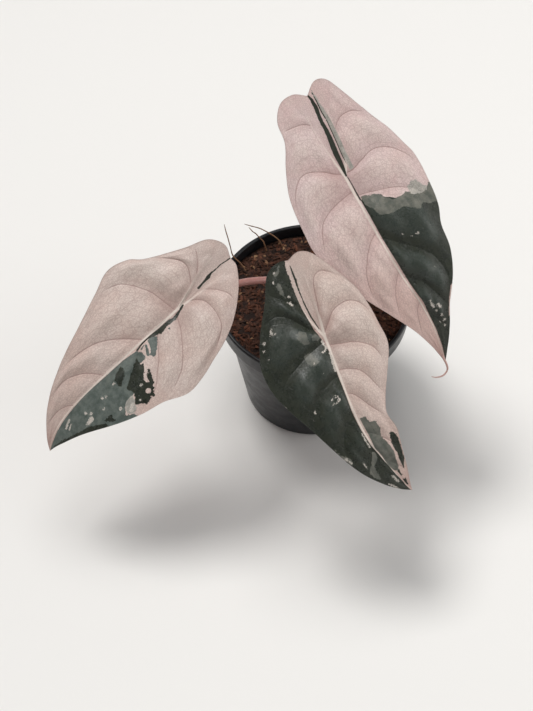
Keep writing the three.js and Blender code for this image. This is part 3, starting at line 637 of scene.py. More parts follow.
class Finish:
    """A material being built from nodes, with short calls for what the finishes share."""

    def __init__(self, name, **shader):
        self.material = bpy.data.materials.new(name)
        self.material.use_nodes = True
        self.tree = self.material.node_tree
        self.shader = self.tree.nodes["Principled BSDF"]
        for socket, value in shader.items():
            self.shader.inputs[socket.replace("_", " ").title().replace("Ior", "IOR")].default_value = value

    def node(self, kind, inputs=None, **settings):
        """A new node with its settings, and its inputs set or linked."""
        node = self.tree.nodes.new("ShaderNode" + kind)
        for name, value in settings.items():
            setattr(node, name, value)
        for socket, value in (inputs or {}).items():
            self.plug(node.inputs[socket], value)
        return node

    def plug(self, socket, value):
        """Links a socket to a socket, or sets it to a value."""
        if isinstance(value, bpy.types.NodeSocket):
            self.tree.links.new(value, socket)
        elif value is not None:
            socket.default_value = value

    def math(self, operation, a, b=None, clamp=False):
        return self.node("Math", {0: a, 1: b}, operation=operation, use_clamp=clamp).outputs[0]

    def times(self, a, b):
        return self.math("MULTIPLY", a, b)

    def plus(self, a, b, clamp=False):
        return self.math("ADD", a, b, clamp)

    def less(self, a, b):
        return self.math("SUBTRACT", a, b)

    def most(self, first, *others):
        """The greatest of several values."""
        for other in others:
            first = self.math("MAXIMUM", first, other)
        return first

    def stripe(self, value, low):
        """Lines where value passes a whole number: 1 there, and 0 where it is less than low from a half."""
        from_middle = self.math("ABSOLUTE", self.less(self.math("FRACT", value), 0.5))
        return self.fade(from_middle, low, 0.5)

    def parts(self, vector):
        return self.node("SeparateXYZ", {0: vector}).outputs

    def moved(self, vector, by, amount):
        """A vector shifted by amount times another one."""
        return self.node("VectorMath", {0: vector, 1: self.scaled(by, amount)}, operation="ADD").outputs[0]

    def net(self, vector, scale, low, high):
        """Lines between cells: 1 on the line, 0 from high on."""
        return self.fade(self.cells(vector, scale, "DISTANCE_TO_EDGE"), low, high, 1.0, 0.0)

    def mix(self, factor, a, b):
        """From colour a to colour b; either is a socket or three numbers."""
        a, b = (v if isinstance(v, bpy.types.NodeSocket) else (*v, 1.0) for v in (a, b))
        return self.node("Mix", {0: factor, 6: a, 7: b}, data_type="RGBA").outputs[2]

    def blend(self, factor, a, b):
        """From number a to number b."""
        return self.node("Mix", {0: factor, 2: a, 3: b}, data_type="FLOAT").outputs[0]

    def fade(self, value, low, high, start=0.0, end=1.0):
        """start to end, smoothly, as value goes from low to high."""
        inputs = {0: value, 1: low, 2: high, 3: start, 4: end}
        return self.node("MapRange", inputs, interpolation_type="SMOOTHSTEP").outputs[0]

    def scaled(self, vector, x, y=None, z=None):
        """A vector times three factors, or times one."""
        factors = (x, x if y is None else y, x if z is None else z)
        return self.node("VectorMath", {0: vector, 1: factors}, operation="MULTIPLY").outputs[0]

    def noise(self, vector, scale, detail, roughness):
        inputs = {"Vector": vector, "Scale": scale, "Detail": detail, "Roughness": roughness}
        return self.node("TexNoise", inputs).outputs[0]

    def cells(self, vector, scale, feature, output="Distance"):
        return self.node("TexVoronoi", {"Vector": vector, "Scale": scale}, feature=feature).outputs[output]

    def attribute(self, name):
        return self.node("Attribute", attribute_name=name).outputs["Fac"]

    def uv(self, name):
        return self.node("UVMap", uv_map=name).outputs[0]

    def place(self):
        return self.node("TexCoord").outputs["Object"]

    def bump(self, height, distance, strength):
        return self.node("Bump", {"Height": height, "Distance": distance, "Strength": strength}).outputs[0]

    def finish(self, colour, roughness, normal=None):
        self.plug(self.shader.inputs["Base Color"], colour)
        self.plug(self.shader.inputs["Roughness"], roughness)
        self.plug(self.shader.inputs["Normal"], normal)
        return self.material


# Leaf blades


def bent(blade, half, s, t, lift):
    """Flat places of one half, and their lift off the upper face, as places in the plant's frame (mm).

    The midrib is the running sum of steps whose pitch is droop((s/reach)^1.5 - 0.4) and whose yaw eases
    from one turn to the other past the joint and then adds sweep (s/reach)^power. Each half leaves the
    midrib at its fold angle and bends down in an arc: at the distance w from the midrib its slope is
    fold - bend w, so it is (sin fold - sin slope)/bend out and (cos slope - cos fold)/bend up.
    """
    step = 0.5
    line = np.arange(-70, 140, step)
    ahead, behind = np.maximum(line / blade["reach"], 0), np.maximum(-line / blade["reach"], 0)
    pitch = np.radians(blade["droop"] * (ahead**1.5 - 0.4) + blade["rear"] * behind)
    turn_rear, turn_front = blade["turn"]
    yaw = turn_rear + (turn_front - turn_rear) * smoothstep(-6, 6, line)
    yaw = np.radians(yaw + blade["sweep"] * ahead ** blade["sweep_power"])
    aim = np.stack([np.cos(pitch) * np.cos(yaw), np.cos(pitch) * np.sin(yaw), -np.sin(pitch)], axis=-1)
    run = np.vstack([np.zeros(3), np.cumsum((aim[1:] + aim[:-1]) / 2 * step, axis=0)])
    run -= [np.interp(0, line, run[:, i]) for i in range(3)]
    place = np.stack([np.interp(s, line, run[:, i]) for i in range(3)], axis=-1)
    pitch, yaw = np.interp(s, line, pitch), np.interp(s, line, yaw)
    across = np.stack([-np.sin(yaw), np.cos(yaw), 0 * yaw], axis=-1)
    up = np.stack([np.sin(pitch) * np.cos(yaw), np.sin(pitch) * np.sin(yaw), np.cos(pitch)], axis=-1)
    rib = midrib_offset(blade, s)
    side = half["side"]
    fold = math.radians(half["fold"])
    bend = math.radians(half["curl"]) / CURL_WIDTH
    slope = fold - bend * side * (t - rib)
    out = (math.sin(fold) - np.sin(slope)) / bend - lift * np.sin(slope)
    rise = (np.cos(slope) - math.cos(fold)) / bend + lift * np.cos(slope)
    local = place + across * (rib + side * out)[..., None] + up * rise[..., None]
    return in_plant(blade, local)


def in_plant(blade, local):
    """Turns the blade's own axes to the plant's: roll about the midrib, dip, heading, then the joint."""
    heading, dip, roll = (math.radians(blade[name]) for name in ("heading", "dip", "roll"))
    about_x = np.array([[1, 0, 0], [0, math.cos(roll), -math.sin(roll)], [0, math.sin(roll), math.cos(roll)]])
    about_y = np.array([[math.cos(dip), 0, math.sin(dip)], [0, 1, 0], [-math.sin(dip), 0, math.cos(dip)]])
    about_z = np.array([
        [math.cos(heading), -math.sin(heading), 0], [math.sin(heading), math.cos(heading), 0], [0, 0, 1],
    ])
    return local @ (about_z @ about_y @ about_x).T + np.array(blade["joint"], float)


def midrib_offset(blade, s):
    """How far the midrib strays to the left of the straight line from the joint to the tip."""
    line = smooth_line(blade["midrib"], RIB_COUNT)
    return np.where(np.asarray(s) > 0, np.interp(s, line[:, 0], line[:, 1]), 0.0)


def spine(blade, half, q):
    """Flat places along the lobe's rib, for q from -1 to 0, and then along the midrib, for q to 1."""
    rib = smooth_line(half["lobe_rib"], RIB_COUNT)
    tip = half["outline"][-1][0]
    s = np.maximum(q, 0) * tip
    ahead = np.stack([s, midrib_offset(blade, s)], axis=-1)
    return np.where((q < 0)[:, None], along(rib, np.clip(-q, 0, 1)), ahead)


def half_layout(blade, half):
    """The half's veins as smooth lines with the same number of places, with where each starts on the
    spine, and the fraction of the outline's length where it ends."""
    tip = half["outline"][-1][0]
    outline = smooth_line(half["outline"], OUTLINE_COUNT)
    starts = np.array([vein[0] if vein[0] <= 0 else vein[0] / tip for vein in half["veins"]])
    ends = np.array([np.argmin(np.linalg.norm(outline - vein[2], axis=1)) for vein in half["veins"]])
    ends = ends / (OUTLINE_COUNT - 1)
    roots = spine(blade, half, starts)
    lines = []
    for vein, root, end in zip(half["veins"], roots, ends):
        path = [root, *vein[1], along(outline, np.array([end]))[0]]
        same = np.allclose(path[0], path[-1])
        lines.append(np.repeat(root[None], VEIN_COUNT, axis=0) if same else smooth_line(path, VEIN_COUNT))
    return {"outline": outline, "starts": starts, "ends": ends, "lines": np.array(lines)}


def spine_rows(blade, layouts, spacing):
    """Where the rows of both halves cross the spine. They crowd together at every vein, and there are
    enough of them for the spacing (mm) along either outline."""
    stops = np.unique(np.concatenate([[-1, 0, 1]] + [layout["starts"] for layout in layouts]))
    rows = [stops[:1]]
    for low, high in zip(stops[:-1], stops[1:]):
        spans = [np.diff(np.interp([low, high], x["starts"], x["ends"]))[0] * 200 for x in layouts]
        count = max(4, math.ceil(max(spans) / spacing))
        x = np.arange(1, count + 1) / count
        rows.append(low + (high - low) * (x - 0.11 * np.sin(2 * np.pi * x)))
    return np.concatenate(rows)


def half_grid(blade, half, layout, rows, columns):
    """Flat places of one half on a grid that follows its veins, with what the relief needs.

    Row q and column v lie on the Coons patch between veins a and b, the spine and the outline:
    (1-f) A(v) + f B(v) + (1-v) S(f) + v M(f), less the bilinear blend of the patch's four corners.
    """
    x = np.linspace(0, 1, columns)
    v = x - 0.1 * np.sin(2 * np.pi * x)
    starts, ends, lines = layout["starts"], layout["ends"], layout["lines"]
    index = np.clip(np.searchsorted(starts, rows, side="right") - 1, 0, len(starts) - 2)
    f = (rows - starts[index]) / (starts[index + 1] - starts[index])
    samples = np.stack([along(line, v) if np.ptp(line) > 0 else np.repeat(line[:1], columns, 0) for line in lines])
    a, b = samples[index], samples[index + 1]
    near = spine(blade, half, rows)[:, None]
    far = along(layout["outline"], ends[index] + f * (ends[index + 1] - ends[index]))[:, None]
    f, w = f[:, None, None], v[None, :, None]
    corners = (1 - f) * (1 - w) * a[:, :1] + (1 - f) * w * a[:, -1:] + f * (1 - w) * b[:, :1] + f * w * b[:, -1:]
    flat = (1 - f) * a + f * b + (1 - w) * near + w * far - corners
    f = f[..., 0]
    rises = np.array([vein[3] for vein in half["veins"]])
    edges = np.array([vein[4] for vein in half["veins"]])
    broad = np.linalg.norm(a - b, axis=-1)
    swell = np.tanh(broad / 9) * smoothstep(-0.04, 0.16, v) * (1 - 0.9 * smoothstep(0.55, 1, v))
    pillow = 1 + 0.2 * np.cos(2 * np.pi * (2.6 * v[None] + 0.37 * index[:, None])) * smoothstep(0.1, 0.3, v)
    dome = QUILTING * rises[index][:, None] * np.sin(np.pi * f) ** 1.4 * swell * pillow
    edge = ((1 - f[:, 0]) * edges[index] + f[:, 0] * edges[index + 1])[:, None] * smoothstep(0.7, 1, v) ** 1.5
    k = np.broadcast_to(index[:, None] + f, dome.shape)
    return {"flat": flat, "k": k, "v": np.broadcast_to(v, dome.shape), "lift": dome + edge}


def lobe_grid(blade, half, rows, columns):
    """Flat places of the strip between the lobe's rib and the seam of the two lobes, in rows that are
    straight from rib to seam, and that meet in the joint."""
    x = np.linspace(0, 1, columns)
    v = x - 0.1 * np.sin(2 * np.pi * x)
    rows = rows[rows <= 0]
    rib = spine(blade, half, rows)[:, None]
    notch = np.array(half["outline"][0], float)
    seam = (-rows[:, None] * notch)[:, None]
    w = v[None, :, None]
    flat = rib * (1 - w) + seam * w
    shape = flat.shape[:2]
    dip = -0.35 * np.sin(np.pi * v)[None] * (smoothstep(0, 0.3, -rows) * smoothstep(0, 0.3, 1 + rows))[:, None]
    return {"flat": flat, "k": np.broadcast_to(3 * rows[:, None], shape), "v": np.broadcast_to(v, shape), "lift": dip}


def blade_mesh(name, blade, thickness, spacing=0.95, columns=50):
    """The blade as one closed skin: an upper and a lower sheet over the same flat grid, joined by a
    rounded edge. The upper face rises in domes between the veins, sinks along them and stands up in a
    low ridge on the midrib and on the lobes' ribs. The lower face follows it, with ribs below them.

    At the distance r from the midrib and g from a vein, the upper face is at dome + ridge e^-(r/w)^2
    - depth e^-(g/width)^2 + a slight wave, and the lower face is a thickness and a rib below that.
    Points whose flat places agree are joined, so the halves and lobes make one sheet.
    """
    layouts = [half_layout(blade, half) for half in blade["halves"]]
    rows = spine_rows(blade, layouts, spacing)
    spine_lines = [spine(blade, half, np.linspace(-1, 1, 240)) for half in blade["halves"]]
    keys, places, faces, maps, values = [], [], [], [], []
    count = 0
    for half, layout in zip(blade["halves"], layouts):
        side = half["side"]
        drawn = [line[::8] for vein, line in zip(half["veins"], layout["lines"]) if vein[0] > -0.95 and vein[1]]
        for outer in (True, False):
            grid = half_grid(blade, half, layout, rows, columns) if outer else lobe_grid(blade, half, rows, columns)
            shape = grid["v"].shape
            flat = grid["flat"].reshape(-1, 2)
            from_rib = np.min([gap_to_line(flat, line) for line in spine_lines], axis=0)
            from_vein = np.min([gap_to_line(flat, line) for line in drawn], axis=0)
            from_edge = np.min([gap_to_line(flat, x["outline"][::4]) for x in layouts], axis=0)
            k, v, lift = (grid[label].ravel() for label in ("k", "v", "lift"))
            s = flat[:, 0]
            reach = np.where(s > 0, s / blade["reach"], -s / LOBE_REACH)
            broad = 1.25 - 0.85 * np.clip(reach, 0, 1)
            fade = (1 - smoothstep(0.7, 0.97, v)) if outer else np.ones(len(v))
            ridge = RIDGE - RIDGE_LOSS_ON_LOBE * smoothstep(0, 20, -s)
            height = lift.copy()
            lift = lift + ridge * np.exp(-((from_rib / broad) ** 2)) * smoothstep(-0.2, 0.4, 1.15 - reach)
            groove = np.exp(-((from_vein / GROOVE_WIDTH) ** 2)) * fade * smoothstep(0.3, 1.5, from_rib)
            wave = ripple(flat[:, 0], flat[:, 1], 9, 3) * smoothstep(0, 3, from_rib)
            lift = lift - GROOVE_DEPTH * groove + WAVINESS * wave
            thin = thickness * (0.5 + 0.5 * smoothstep(0, 5, from_edge))
            under_rib = RIB_BELOW * np.clip(1.1 - reach, 0, 1) * np.exp(-((from_rib / (broad + 0.3)) ** 2))
            under_vein = VEIN_BELOW * np.exp(-((from_vein / 0.7) ** 2)) * fade
            low = lift - thin - np.maximum(under_rib, under_vein)
            index = np.arange(len(flat)).reshape(shape)
            quads = grid_quads(*shape)
            if (side > 0) == outer:
                quads = quads[:, ::-1]
            venation = np.stack([k, v], axis=-1)
            shared = {"rib_widths": from_rib / broad, "vein_mm": from_vein, "edge_mm": from_edge, "height_mm": height}
            for layer, face, order in ((0, lift, 1), (1, low, -1)):
                keys.append(np.column_stack([np.round(flat * 2000), np.full(len(flat), layer)]))
                places.append(bent(blade, half, flat[:, 0], flat[:, 1], face))
                faces.append(quads[:, ::order] + count + layer * len(flat))
                maps.append((flat, venation))
                values.append({**shared, "under": np.full(len(flat), float(layer))})
            if outer:
                rim = index[:, -1]
                outward = np.gradient(flat[rim], axis=0)
                outward = np.stack([-outward[:, 1], outward[:, 0]], -1) * side
                outward /= np.maximum(np.linalg.norm(outward, axis=1, keepdims=True), 1e-6)
                middle = flat[rim] + ROUND_EDGE * outward
                keys.append(np.column_stack([np.round(middle * 2000), np.full(len(rim), 2)]))
                places.append(bent(blade, half, middle[:, 0], middle[:, 1], (lift[rim] + low[rim]) / 2))
                first = count + 2 * len(flat)
                around = np.stack([count + rim, first + np.arange(len(rim)), count + len(flat) + rim])
                strips = [np.stack([p[:-1], p[1:], q[1:], q[:-1]], -1) for p, q in zip(around[:-1], around[1:])]
                faces.append(np.concatenate(strips)[:, ::-side])
                maps.append((middle, venation[rim]))
                values.append({**{label: shared[label][rim] for label in shared}, "under": np.full(len(rim), 0.4)})
            count = sum(len(p) for p in places)
    points = np.concatenate(places)
    _, first, weld = np.unique(np.concatenate(keys), axis=0, return_index=True, return_inverse=True)
    weld = weld.ravel()
    quads = np.concatenate(faces)
    triangles = np.concatenate([quads[:, [0, 1, 2]], quads[:, [0, 2, 3]]])
    joined = weld[triangles]
    whole = (joined[:, 0] != joined[:, 1]) & (joined[:, 1] != joined[:, 2]) & (joined[:, 0] != joined[:, 2])
    triangles, joined = triangles[whole], joined[whole]
    flat = np.concatenate([m[0] for m in maps])
    venation = np.concatenate([m[1] for m in maps])
    point_values = {label: np.concatenate([x[label] for x in values])[first] for label in values[0]}
    for number, (_, shapes) in enumerate(blade["layers"]):
        depth = np.max([depth_inside(flat[first], shape) for shape in shapes], axis=0)
        point_values[f"zone_{number}"] = np.clip(depth, -6, 6)
    corner_maps = {"plan": flat[triangles.ravel()] / 100, "venation": venation[triangles.ravel()]}
    return points[first], joined, corner_maps, point_values


def leaf_finish(name, blade, colours):
    """Pink, grey-green and near-black skin, laid over each other by the blade's zones.

    A zone's edge is its drawn depth, pushed in and out by small cells so that it breaks along the net
    of fine veins. The net is darker lines between pale cells, finest between the drawn veins.
    """
    f = Finish(name, specular_ior_level=0.36, coat_weight=0.1, coat_roughness=0.3)
    plan = f.scaled(f.uv("plan"), 100)
    venation = f.uv("venation")
    under = f.fade(f.attribute("under"), 0.35, 0.65)
    rib, vein, edge = (f.attribute(label) for label in ("rib_widths", "vein_mm", "edge_mm"))
    broad = f.noise(plan, 0.045, 2, 0.5)
    middle = f.noise(plan, 0.22, 4, 0.6)
    fine = f.noise(plan, 2.4, 3, 0.6)
    stray = f.node("TexNoise", {"Vector": plan, "Scale": 0.6}).outputs["Color"]
    warped = f.moved(plan, stray, 1.2)
    wide_net = f.net(f.moved(f.scaled(venation, 6.5, 15), stray, 0.9), 1.0, 0.01, 0.085)
    net = f.net(warped, 0.8, 0.01, 0.13)
    small_net = f.net(warped, 2.1, 0.02, 0.2)
    between, outward = f.parts(venation)[:2]
    wobble = f.noise(plan, 0.12, 2, 0.5)
    fan_line = f.stripe(f.plus(f.times(between, 5.0), f.times(wobble, 0.9)), 0.44)
    fan_line = f.times(fan_line, f.fade(outward, 0.02, 0.12))
    hem_line = f.stripe(f.math("DIVIDE", f.plus(edge, f.times(wobble, 0.8)), 1.25), 0.36)
    hem_line = f.times(hem_line, f.fade(edge, 4.6, 5.6, 1.0, 0.0))
    vein_line = f.times(f.fade(vein, 0.1, 0.4, 1.0, 0.0), f.fade(outward, 0.72, 0.95, 1.0, 0.0))
    lines = f.most(
        f.times(fan_line, 0.8), f.times(hem_line, 0.6), f.times(wide_net, 0.8),
        f.times(net, 0.7), f.times(small_net, 0.25))
    from_joint = f.node("VectorMath", {0: plan}, operation="LENGTH").outputs["Value"]
    # Darker near the joint: partly the leaf's deeper tone there, partly painted shade of the valley round the joint.
    joint_tone_and_shade = f.fade(from_joint, 3.0, 24.0, 1.0, 0.0)
    # Painted shade: the pink darkens towards the veins, where their valleys lie in shade.
    shade = f.times(f.fade(vein, 0.2, 4.5, 1.0, 0.0), f.fade(outward, 0.2, 0.85, 1.0, 0.0))
    shade = f.plus(f.times(shade, 0.25), f.times(joint_tone_and_shade, 0.5), clamp=True)
    height = f.attribute("height_mm")

    def tinted(label, tint="tint"):
        return tuple(a * b for a, b in zip(colours[label], blade[tint]))

    ahead = f.parts(plan)[0]
    warm = f.times(f.fade(ahead, 0.05 * blade["reach"], 0.85 * blade["reach"]), blade["warmth"])
    pink = f.mix(f.fade(broad, 0.3, 0.7, 0.0, 0.5), tinted("pink"), tinted("pink_warm"))
    pink = f.mix(f.times(f.fade(middle, 0.35, 0.75), 0.35), pink, colours["cream"])
    # Painted highlight: the pink pales towards cream on the tops of the domes.
    pink = f.mix(f.times(f.fade(height, 0.2, 2.2), 0.4), pink, colours["cream"])
    pink = f.mix(warm, pink, colours["pink_warm"])
    # Painted shade pink laid over the valleys by the veins and round the joint.
    pink = f.mix(shade, pink, tinted("painted_shade_pink"))
    pink = f.mix(f.times(lines, 0.66), pink, tinted("pink_vein"))
    pink = f.mix(f.times(vein_line, 0.75), pink, colours["pink_vein"])
    rib_line = f.times(f.fade(rib, 0.4, 0.9, 1.0, 0.0), f.fade(ahead, -22.0, -1.0, 0.25, 0.9))
    pink = f.mix(rib_line, pink, colours["rib"])
    pink = f.mix(f.fade(edge, 0.1, 0.6, 0.25, 0.0), pink, colours["pink_vein"])
    tip = f.fade(ahead, 0.8 * blade["reach"], 1.02 * blade["reach"], 0.0, 0.35)
    pink = f.mix(tip, pink, colours["tip"])
    dark = f.mix(f.fade(middle, 0.25, 0.8), colours["green"], colours["olive"])
    # Painted sheen: the dark parts turn grey on the tops of the domes, where highlights would fall.
    painted_sheen_on_domes = f.times(f.fade(height, 0.5, 2.4), f.fade(broad, 0.3, 0.6, 0.6, 1.0))
    dark = f.mix(f.times(painted_sheen_on_domes, blade["painted_dome_sheen"]), dark, colours["grey"])
    dark = f.mix(f.times(lines, 0.25), dark, colours["green_vein"])
    grey = f.mix(f.fade(middle, 0.3, 0.7), tinted("grey", "grey_tint"), tinted("grey_pale", "grey_tint"))
    grey = f.mix(f.times(lines, 0.35), grey, colours["green_vein"])
    cream = f.mix(f.fade(fine, 0.35, 0.75), colours["cream"], colours["grey_pale"])
    wash = f.mix(f.fade(middle, 0.3, 0.7, 0.35, 0.65), colours["grey_pale"], colours["cream"])
    wash = f.mix(f.times(lines, 0.4), wash, colours["green_vein"])
    tops = {
        "dark": (dark, 0.28), "line": (dark, 0.35), "grey": (grey, 0.42),
        "wash": (wash, 0.48), "cream": (cream, 0.5), "pink": (pink, 0.46),
    }

    cell = f.less(f.cells(warped, 0.75, "F1", "Color"), 0.5)
    speck = f.less(f.cells(warped, 1.9, "F1", "Color"), 0.5)
    drift = f.less(middle, 0.5)
    off_rib = f.fade(rib, 1.2, 4.5, 0.05, 1.0)
    colour, lower, gloss = pink, colours["pink_below"], tops["pink"][1]
    for number, (kind, _) in enumerate(blade["layers"]):
        depth = f.attribute(f"zone_{number}")
        if kind == "cream":
            ragged = f.plus(f.times(speck, 1.1), f.times(drift, 0.5))
        else:
            reach = {"line": 0.3, "pink": 0.6}.get(kind, 1.0)
            ragged = f.plus(f.times(cell, 0.95 * reach), f.times(drift, 0.8 * reach))
            ragged = f.times(ragged, off_rib)
        mask = f.fade(f.plus(depth, ragged), -0.14, 0.14)
        colour = f.mix(mask, colour, tops[kind][0])
        lower = f.mix(mask, lower, colours[kind + "_below"])
        gloss = f.blend(mask, gloss, tops[kind][1])
    drip = f.fade(ahead, 0.985 * blade["reach"], 1.02 * blade["reach"], 0.0, 0.7)
    colour = f.mix(drip, colour, colours["tip"])
    by_rib = f.fade(f.math("MINIMUM", rib, vein), 0.3, 1.1, 1.0, 0.0)
    lower = f.mix(f.times(by_rib, 0.6), lower, colours["rib_below"])
    lower = f.mix(f.times(lines, 0.3), lower, colours["rib_below"])
    colour = f.mix(under, colour, lower)
    gloss = f.plus(gloss, f.times(drift, 0.16))
    gloss = f.plus(gloss, f.times(under, 0.12), clamp=True)
    grain = f.less(f.times(fine, 0.35), f.times(lines, 0.9))
    return f.finish(colour, gloss, f.bump(grain, 0.00014, 0.9))


def stalk_finish(colours):
    """Waxy dusty pink that greens towards the sheath, with fine streaks along the stalk."""
    f = Finish("stalk_skin", specular_ior_level=0.45, coat_weight=0.15, coat_roughness=0.3)
    run = f.uv("run")
    streak = f.noise(f.scaled(run, 90, 9, 1), 1.0, 4, 0.6)
    blotch = f.noise(f.scaled(run, 9, 5, 1), 1.0, 3, 0.5)
    foot = f.fade(f.parts(run)[1], 0.0, 1.6, 1.0, 0.0)
    colour = f.mix(f.fade(streak, 0.35, 0.7), colours["stalk"], colours["stalk_deep"])
    colour = f.mix(f.times(f.fade(blotch, 0.5, 0.75), 0.5), colour, colours["stalk_pale"])
    colour = f.mix(f.times(foot, 0.55), colour, colours["sheath"])
    roughness = f.fade(blotch, 0.3, 0.7, 0.36, 0.5)
    return f.finish(colour, roughness, f.bump(streak, 0.00012, 0.7))


def pot_finish(colours):
    """Satin black moulded plastic: fine grain, faint scuffs and a film of dust."""
    f = Finish("black_plastic", specular_ior_level=0.28)
    place = f.place()
    grain = f.noise(place, 2600, 2, 0.5)
    scuff = f.noise(f.scaled(place, 90, 90, 160), 1.0, 5, 0.65)
    dust = f.times(f.fade(f.noise(place, 38, 5, 0.65), 0.5, 0.85), 0.35)
    colour = f.mix(dust, colours["plastic"], colours["dust"])
    roughness = f.plus(f.fade(scuff, 0.3, 0.75, 0.3, 0.46), f.times(dust, 0.4))
    height = f.plus(f.times(grain, 0.7), f.times(scuff, 0.12))
    return f.finish(colour, roughness, f.bump(height, 0.0001, 0.35))


def mix_finish(name, colours, tone=None):
    """Chopped coir and bark: reddish browns by the piece's own shade, with fibres and dark pores."""
    f = Finish(name, specular_ior_level=0.22)
    place = f.place()
    grain = f.noise(place, 900, 4, 0.65)
    clump = f.noise(place, 110, 4, 0.6)
    shade = f.attribute("shade") if tone is None else f.plus(f.fade(clump, 0.3, 0.7), tone, clamp=True)
    colour = f.mix(f.fade(shade, 0.0, 0.45), colours["mix_dark"], colours["mix"])
    colour = f.mix(f.fade(shade, 0.55, 0.9), colour, colours["mix_red"])
    colour = f.mix(f.fade(shade, 0.93, 1.0), colour, colours["mix_tan"])
    colour = f.mix(f.times(f.fade(grain, 0.4, 0.7), 0.55), colour, colours["mix_dark"])
    return f.finish(colour, f.fade(grain, 0.3, 0.7, 0.75, 0.95), f.bump(grain, 0.0004, 0.9))


def dry_finish(name, colours, pair, lengthwise):
    """Dry plant fibre: two browns in streaks along the piece."""
    f = Finish(name, specular_ior_level=0.25)
    run = f.uv("run")
    fibre = f.noise(f.scaled(run, *lengthwise), 1.0, 5, 0.65)
    patch = f.noise(f.place(), 160, 3, 0.6)
    colour = f.mix(f.fade(fibre, 0.35, 0.68), colours[pair[0]], colours[pair[1]])
    colour = f.mix(f.times(f.fade(patch, 0.45, 0.75), 0.5), colour, colours[pair[2]])
    return f.finish(colour, f.fade(patch, 0.3, 0.7, 0.6, 0.85), f.bump(fibre, 0.0003, 0.8))


def floor_finish(colour):
    """Matt pale floor with a very faint mottle."""
    f = Finish("pale_floor", specular_ior_level=0.2)
    mottle = f.noise(f.place(), 3.0, 3, 0.5)
    tint = f.mix(f.times(mottle, 0.06), colour, tuple(0.9 * c for c in colour))
    return f.finish(tint, f.fade(mottle, 0.3, 0.7, 0.62, 0.7))


# What a user would change


def colour_property(name, description, default):
    """A colour that a user may change, in linear light."""
    return FloatVectorProperty(
        name=name, description=description, subtype="COLOR", size=3, min=0, max=1, default=default)


class PlantColours(bpy.types.PropertyGroup):
    pink: colour_property("Pink", "Palest pink of the leaves' pink parts", (0.7, 0.59, 0.54))
    pink_warm: colour_property("Warm pink", "Salmon pink that drifts through the pink parts", (0.67, 0.475, 0.41))
    # Painted shade: the pink that the valleys by the veins and round the joint are darkened to.
    painted_shade_pink: colour_property("Deep pink", "Pink in the valleys along the veins", (0.43, 0.295, 0.26))
    pink_vein: colour_property("Vein", "Mauve-grey of the sunken veins on pink", (0.33, 0.215, 0.195))
    rib: colour_property("Midrib", "Pale midrib on the upper face", (0.74, 0.655, 0.585))
    green: colour_property("Green", "Near-black green of the leaves", (0.007, 0.011, 0.006))
    olive: colour_property("Olive", "Olive that drifts through the green", (0.017, 0.021, 0.01))
    green_vein: colour_property("Green vein", "Fine net of veins on green", (0.045, 0.048, 0.034))
    grey: colour_property("Grey-green", "Grey-green patches", (0.066, 0.088, 0.079))
    grey_pale: colour_property("Pale grey-green", "Paler part of the grey-green patches", (0.145, 0.17, 0.153))
    cream: colour_property("Cream", "Cream flecks and the palest cells of the pink", (0.71, 0.63, 0.565))
    stalk: colour_property("Stalk", "Dusty pink of the stalks", (0.37, 0.172, 0.148))
    plastic: colour_property("Plastic", "Black of the pot", (0.01, 0.011, 0.013))
    mix: colour_property("Potting mix", "Reddish brown of the coir and bark", (0.06, 0.026, 0.016))
    floor: colour_property("Floor", "Pale floor of the studio", (0.8, 0.79, 0.77))


class PlantSizes(bpy.types.PropertyGroup):
    leaf_thickness: FloatProperty(
        name="Leaf thickness", description="Thickness of a blade away from its margin",
        unit="LENGTH", default=0.00055, min=0.0003, max=0.0008)
    chips: IntProperty(
        name="Bark chips", description="Chips that lie on the potting mix", default=2100, min=1, max=4000)
    fibres: IntProperty(
        name="Coir fibres", description="Fibres that lie on the potting mix", default=420, min=1, max=1000)
    rim_radius: FloatProperty(
        name="Rim radius", description="Outer radius of the pot's rim", unit="LENGTH",
        default=RIM_RADIUS * MM, min=0.059, max=0.06)
    seed: IntProperty(name="Seed", description="Seed of the chips and fibres", default=11, min=0)


UNDER_AND_TRIM = {
    "pink_below": (0.52, 0.345, 0.32),
    "dark_below": (0.06, 0.022, 0.028),
    "grey_below": (0.15, 0.085, 0.085),
    "cream_below": (0.42, 0.3, 0.27),
    "line_below": (0.06, 0.022, 0.028),
    "wash_below": (0.3, 0.19, 0.18),
    "rib_below": (0.55, 0.3, 0.26),
    "tip": (0.34, 0.12, 0.1),
    "stalk_deep": (0.3, 0.14, 0.125),
    "stalk_pale": (0.5, 0.29, 0.25),
    "sheath": (0.3, 0.2, 0.12),
    "dust": (0.05, 0.042, 0.036),
    "mix_dark": (0.015, 0.008, 0.006),
    "mix_red": (0.115, 0.043, 0.024),
    "mix_tan": (0.26, 0.155, 0.085),
    "husk": (0.28, 0.17, 0.095),
    "husk_deep": (0.13, 0.068, 0.036),
    "coir": (0.2, 0.11, 0.06),
    "corm": (0.12, 0.07, 0.045),
    "corm_deep": (0.045, 0.024, 0.016),
}


def palette(context):
    """Every colour by name: those that a user may change and the ones that go with them."""
    chosen = context.scene.plant_colours
    return {**UNDER_AND_TRIM, **{name: tuple(getattr(chosen, name)) for name in PlantColours.__annotations__}}


# Pieces


